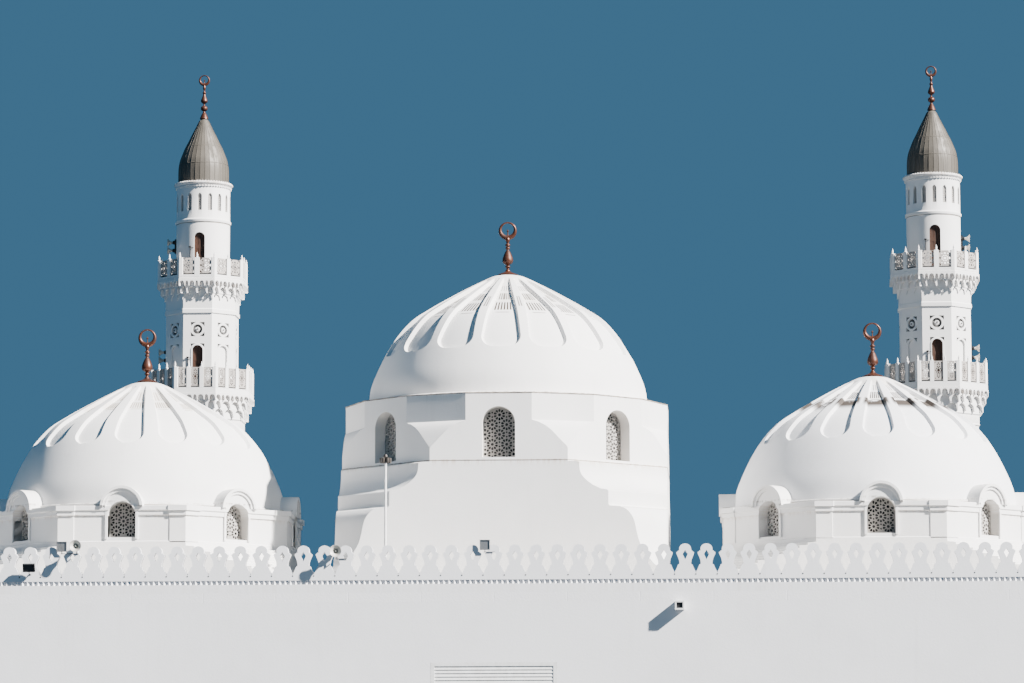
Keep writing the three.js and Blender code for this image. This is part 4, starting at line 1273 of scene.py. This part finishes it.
def buildTurret(name, at):
    s = minaretSettings
    front, inner, foot = s["turret"], s["turret"] - s["turretWall"], s["turretLine"][0][1]
    line = [(inner, foot)] + s["turretLine"] + [(inner, s["turretTop"])]
    body = makeObject("turret", turned(line, 64, True), shaftPlaster, at)
    low, head, half = s["slotFoot"], s["slotHead"], s["slotHalf"]
    slot = extruded([arch(half, low, head, 8, 0.5)], -front - 0.3, -inner + 0.15)
    cutOut(body, makeObject("slots", around(slot, s["slots"]), shaftPlaster, at))
    sill = foot + s["doorSill"]
    cutDoorway(body, sill, s["upperDoorRise"], -front - 1, -inner + 0.3, at)
    teeth = combined(*[block(*tooth) for tooth in s["dentilBlocks"]])
    ringLine = makeObject("ringLine", turned(s["ringLine"], 64, True), grimeLine, at)
    levels = np.arange(low + 0.08, head - 0.12, s["eyePitch"])
    eyes = [disc(x, z, s["grilleEye"], 6) for x in s["eyeColumns"] for z in levels]
    plate = rectangle(-half - 0.03, half + 0.03, low - 0.03, head + 0.02)
    grilles = inRing("grilles", extruded([plate] + eyes, *s["grille"]), latticeStone, s["slots"], at)
    lamp = doorLamp(front - 0.085, foot + s["lampRise"], at)
    pieces = [body, inRing("dentils", teeth, shaftPlaster, s["dentils"], at), ringLine, grilles, lamp]
    settle(joinPieces("turret", pieces), name + "turret_slots", name + "turret", crease=30)
    buildDoor(name + "upper_door", front, sill, s["upperDoorRise"], at)


capSettings = {
    "outline": [
        (1.56, 39.48 + gap), (1.56, 40.2), (1.535, 40.6), (1.457, 41.0), (1.33, 41.35), (1.17, 41.75),
        (0.965, 42.15), (0.753, 42.6), (0.50, 43.1), (0.27, 43.56), (0.1, 43.66),
    ],
    "gores": 32, "thick": 0.12, "top": 43.66, "hollowTop": 43.05, "laps": [(40.72, 1.52), (41.85, 1.125)],
    "seam": [(-0.01, 0.03), (0.01, 0.03), (0.01, -0.01), (-0.01, -0.01)],
}


def buildCap(name, at):
    s = capSettings
    line = [tuple(point) for point in smoothCurve(s["outline"], 40)[0]]
    inner = [(r - s["thick"], z) for r, z in line[:32:4]]
    tips = [(0, s["top"]), (0, s["hollowTop"])]
    shell = turned([inner[0]] + line + tips + inner[:0:-1], s["gores"], True)
    rings = [[(x, y - r, z) for x, y in s["seam"]] for r, z in line[:-2]]
    pieces = [makeObject("cap", shell, capSheet, at), inRing("seams", loft(rings), capSheet, s["gores"], at)]
    for level, radius in s["laps"]:
        lap = [(radius - 0.03, level - 0.05), (radius + 0.012, level - 0.02), (radius - 0.03, level + 0.05)]
        pieces.append(makeObject("lap", turned(lap, 64, True), capSheet, at))
    settle(joinPieces("cap", pieces), name + "cap_seams", name + "cap", crease=9)


# Finials: a smooth turned stem with a crescent ring of lens-shaped section and a small bead inside it
finialSettings = {
    "dome": {"radius": 0.405, "height": 1.99, "thick": 0.14, "line": [
        (0.47, 0.0), (0.44, 0.03), (0.32, 0.08), (0.20, 0.13), (0.115, 0.18), (0.105, 0.22), (0.06, 0.27),
        (0.065, 0.32), (0.11, 0.36), (0.10, 0.41), (0.06, 0.45), (0.13, 0.50), (0.20, 0.55),
        (0.235, 0.63), (0.225, 0.76), (0.17, 0.92), (0.105, 1.06), (0.06, 1.12), (0.06, 1.15),
        (0.10, 1.20), (0.09, 1.25),
        (0.055, 1.29), (0.115, 1.34), (0.10, 1.39), (0.055, 1.43), (0.075, 1.52), (0.10, 1.60),
        (0.05, 1.75)]},
    "minaret": {"radius": 0.35, "height": 2.43, "thick": 0.11, "line": [
        (0.27, 0.0), (0.25, 0.06), (0.17, 0.25), (0.09, 0.40), (0.07, 0.48), (0.15, 0.53), (0.205, 0.60),
        (0.205, 0.72), (0.14, 0.80), (0.06, 0.85), (0.055, 0.95), (0.12, 1.0), (0.20, 1.08),
        (0.205, 1.17), (0.16, 1.30), (0.10, 1.45), (0.07, 1.56), (0.10, 1.62), (0.10, 1.68), (0.06, 1.72),
        (0.05, 1.82),
        (0.085, 1.95), (0.05, 2.15)]},
}
# The crescent's hole as a share of its radius, and how far that hole sits above the middle
crescentHole, crescentLift = 0.66, 0.17


def buildFinial(node, kind, foot, at):
    s = finialSettings[kind]
    radius, height = s["radius"], foot + s["height"]
    line = smoothCurve([(r, foot + z) for r, z in s["line"]], 90)[0]
    stem = turned([(0, foot)] + [tuple(point) for point in line] + [(0, line[-1][1] + 0.03)], 32)
    rings = []
    for a in np.linspace(0, 2 * math.pi, 64, endpoint=False):
        outer = np.array([radius * math.cos(a), height + radius * math.sin(a)])
        lift = crescentLift + crescentHole * math.sin(a)
        inner = np.array([crescentHole * radius * math.cos(a), height + radius * lift])
        ring = []
        for t in np.linspace(0, 2 * math.pi, 12, endpoint=False):
            x, z = inner + (outer - inner) * (0.5 + 0.5 * math.cos(t))
            ring.append((x, s["thick"] / 2 * math.sin(t), z))
        rings.append(ring)
    low = height - 0.60 * radius
    bead = [(0.022, -0.09), (0.022, -0.05), (0.06, -0.01), (0.02, 0.03), (0, 0.09)]
    bead = turned([(0, low), (0.035, low)] + [(r, height + z) for r, z in bead], 12)
    pieces = combined(stem, loft(rings, True), bead)
    settle(makeObject(node, pieces, copper, at), node + "_crescent", node, crease=40)


# Horn speakers: a flared bell with a dark driver behind it
hornLength, hornRow = 0.42, {"length": 0.47, "bar": 0.08, "reach": 0.12, "forward": 0.08}
# How high the lower horn stands over the balcony's floor, and how far above it the other is
hornHeights = {
    "left_upper": (2.0, 0.5), "right_upper": (1.68, 0.57),
    "left_lower": (2.06, 0.5), "right_lower": (1.82, 0.57),
}
hornLines = {
    "bell": [(0.05, 0.10), (0.062, 0.10), (0.068, 0.17), (0.10, 0.26), (0.16, 0.35), (0.25, 0.415),
             (0.25, 0.42), (0.235, 0.42), (0.15, 0.365), (0.09, 0.275), (0.055, 0.18)],
    "driver": [(0, -0.06), (0.09, -0.06), (0.12, -0.03), (0.12, 0.12), (0.08, 0.15), (0, 0.15)],
    "plug": [(0, 0.20), (0.045, 0.22), (0.035, 0.33), (0, 0.35)],
}


# The light parts of a horn, and its dark driver
def hornParts(offset, length=hornLength):
    parts = []
    for label, line in hornLines.items():
        stretched = [(r, z * length / hornLength) for r, z in line]
        parts.append(facingFront(stretched, 24, offset, label == "bell"))
    return combined(parts[0], parts[2]), parts[1]


# Two horns, one above the other, on a bar on a minaret's outer face
def buildMinaretHorns(side, balcony, face, sign, at):
    s, node = hornRow, side + "_minaret_" + balcony + "_horns"
    height, pitch = hornHeights[side + "_" + balcony]
    z, half = balconies[balcony]["floor"] + height, s["bar"] / 2
    levels = (z, z + pitch)
    bells, drivers = zip(*[hornParts((0, -face - s["forward"], level), s["length"]) for level in levels])
    bar = block(-half, half, -face - s["reach"], -face - gap, z - 0.2, z + pitch + 0.2)
    clamps = [block(-0.06, 0.06, -face - 0.10, -face - gap, level - 0.03, level + 0.03) for level in levels]
    light = makeObject("bells", spun(combined(*bells), sign * 90), hornPaint, at)
    dark = makeObject("drivers", spun(combined(bar, *clamps, *drivers), sign * 90), darkPaintAndShade, at)
    settle(joinPieces("horns", [light, dark]), node + "_bells", node)


def buildMinaret(side, sign):
    s = minaretSettings
    at, name = (sign * s["x"], s["y"], 0), side + "_minaret_"
    buildShafts(name, at)
    for balcony in ("lower", "upper"):
        buildRailing(name + balcony + "_railing", balcony, at)
    buildTurret(name, at)
    buildCap(name, at)
    buildFinial(name + "finial", "minaret", capSettings["top"] + 2 * gap, at)
    for balcony, face in (("upper", s["turret"]), ("lower", s["upper"])):
        buildMinaretHorns(side, balcony, face, sign, at)


buildMinaret("left", -1)
buildMinaret("right", 1)
for side, (x, seat) in domePlaces.items():
    buildFinial(side + "_finial", "dome", seat + domeSettings["crown"] + 3 * gap, (x, 0, 0))
print("minarets and finials built")


# Fittings on the front: lights and horns on brackets, a square housing on the wall and lamps on a pole
fittingSettings = {
    "reach": 0.22, "panelReach": 0.04, "bar": 0.03, "drop": 0.29,
    "panels": {"left_panel_light": (-17.88, 11.95), "centre_panel_light": (-0.36, 11.93)},
    "panel": (0.21, 0.21, 0.1),
    "horns": {"left_horn": (-17.23, 11.95), "centre_horn": (-6.47, 11.68)},
    "floodlight": (-19.2, 11.1), "flood": (0.25, 0.17, 0.14), "floodTilt": 20,
    "lamp": (7.62, 9.4), "lampHalf": (0.19, 0.18), "lampReach": 0.5, "lampMouth": (0.68, 0.66),
}


# A bar on the nearest merlon, an arm forward from it and a stub up to the light or horn
def bracketParts(x, z, reach):
    s, wall = fittingSettings, building["front"]
    pitch = 2 * building["half"] / round(2 * building["half"] / parapet["pitch"])
    middle = round(x / pitch) * pitch
    y, half, low = wall - reach, s["bar"] / 2, z - s["drop"]
    left, right = min(x, middle) - 0.05, max(x, middle) + 0.05
    bar = block(left, right, wall - s["bar"], wall - gap, low - half, low + half)
    arm = block(x - half, x + half, y - 0.02, wall - s["bar"] + 0.01, low - half, low + half)
    return combined(bar, arm, block(x - half, x + half, y - 0.02, y + 0.02, low - half, z - 0.1))


# A flat case with a raised rim in front and cooling fins behind
def lightParts(half, high, depth):
    outer, face = rectangle(-half, half, -high, high), -depth * 0.72
    wide, tall = half - 0.03, high - 0.03
    inner = [(-wide, -tall), (-wide, tall), (wide, tall), (wide, -tall)]
    case, rim = extruded([outer], face, -0.01), extruded([outer, inner], -depth, face)
    places, reach = np.linspace(-half * 0.8, half * 0.8, 7), high * 0.85
    return combined(case, rim, *[block(x - 0.008, x + 0.008, -0.01, 0.02, -reach, reach) for x in places])


def buildBracketed():
    s, wall = fittingSettings, building["front"]
    y = wall - s["reach"]
    for node, (x, z) in s["panels"].items():
        head = moved(lightParts(*s["panel"]), (x, wall - s["panelReach"], z))
        light = makeObject(node, combined(bracketParts(x, z, s["panelReach"]), head), greySteel)
        settle(light, node + "_case", node, 30)
    for node, (x, z) in s["horns"].items():
        bell, driver = hornParts((x, y + 0.04, z))
        bell = makeObject("bell", bell, hornPaint)
        driver = makeObject("driver", combined(driver, bracketParts(x, z, s["reach"])), darkPaintAndShade)
        settle(joinPieces("horn", [bell, driver]), node + "_bell", node)
    x, z = s["floodlight"]
    head = moved(tipped(lightParts(*s["flood"]), s["floodTilt"]), (x, y, z))
    light = makeObject("floodlight", combined(bracketParts(x, z, s["reach"]), head), darkPaintAndShade)
    settle(light, "left_floodlight_case", "left_floodlight", 30)


def buildWallLamp():
    s, wall = fittingSettings, building["front"]
    x, z = s["lamp"]
    half, high = s["lampHalf"]
    wide, tall = s["lampMouth"]
    near = wall - s["lampReach"]
    outer = rectangle(x - half, x + half, z - high, z + high)
    inner = [(x + (u - x) * wide, z + (v - z) * tall) for u, v in outer]
    housing = makeObject("housing", extruded([outer, inner[::-1]], near, wall - gap), paintedSteel)
    # The dark block behind the mouth of the housing is painted shade for its hollow inside
    inside = makeObject("inside", extruded([inner], near + 0.06, wall - 0.02), darkPaintAndShade)
    settle(joinPieces("lamp", [housing, inside]), "wall_lamp_housing", "wall_lamp")


# A pole on the roof with a ring of small lamps round its top
poleSettings = {
    "at": (-4.7, -8.0, 0), "lamps": 6, "firstLamp": 30, "lampReach": 0.17,
    "arm": (-0.012, 0.012, -0.19, 0, 15.56, 15.585),
    "mast": [
        (0, 10.0 + gap), (0.16, 10.0 + gap), (0.16, 10.03), (0.07, 10.06), (0.06, 10.1), (0.05, 15.62),
        (0, 15.62),
    ],
    "lamp": [(0, 15.56), (0.05, 15.56), (0.085, 15.66), (0.085, 15.78), (0, 15.78)],
    "crown": [(0, 15.6), (0.05, 15.6), (0.05, 15.80), (0.09, 15.83), (0.07, 15.93), (0, 15.95)],
}


def buildLampPole():
    s = poleSettings
    lamp = moved(turned(s["lamp"], 14), (0, -s["lampReach"], 0))
    lamps = around(combined(block(*s["arm"]), lamp), s["lamps"], s["firstLamp"])
    heads = combined(lamps, turned(s["crown"], 14))
    mast = makeObject("pole", turned(s["mast"], 16), paintedSteel, s["at"])
    pole = joinPieces("pole", [mast, makeObject("heads", heads, lampBronze, s["at"])])
    settle(pole, "lamp_pole_cluster", "lamp_pole")


buildBracketed()
buildWallLamp()
buildLampPole()
print("fittings built")


def floorDisc():
    s = floorSettings
    turns = [2 * math.pi * i / s["sides"] for i in range(s["sides"])]
    ring = [(s["reach"] * math.cos(a), middleDepth + s["reach"] * math.sin(a), s["level"]) for a in turns]
    paint, tree, shader = startMaterial("studioFloor", 0.9)
    tone = between(tree, noiseOf(tree, (1, 1, 1), 0.05, 2.0), 0.3, 0.7)
    tree.links.new(mixed(tree, tone, *s["tints"]), shader.inputs["Base Color"])
    floor = makeObject("floor", (ring, [tuple(range(s["sides"]))]), paint)


floorDisc()

# Finishes of the solids themselves: the first word found in a node's name decides
nodeFinishes = {
    "roof_slab": roofScreed, "floor_slab": floorStone, "wall_lamp": paintedSteel, "lamp_pole": paintedSteel,
    "finial": copper, "_cap": greySteel, "_door": doorWood, "horn": hornPaint, "light": greySteel,
    "minaret": shaftPlaster,
}
for nodeName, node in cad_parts.items():
    words = [word for word in nodeFinishes if word in nodeName]
    node.data.materials.clear()
    node.data.materials.append(nodeFinishes[words[0]] if words else wallPlaster)
print("kept nodes painted")
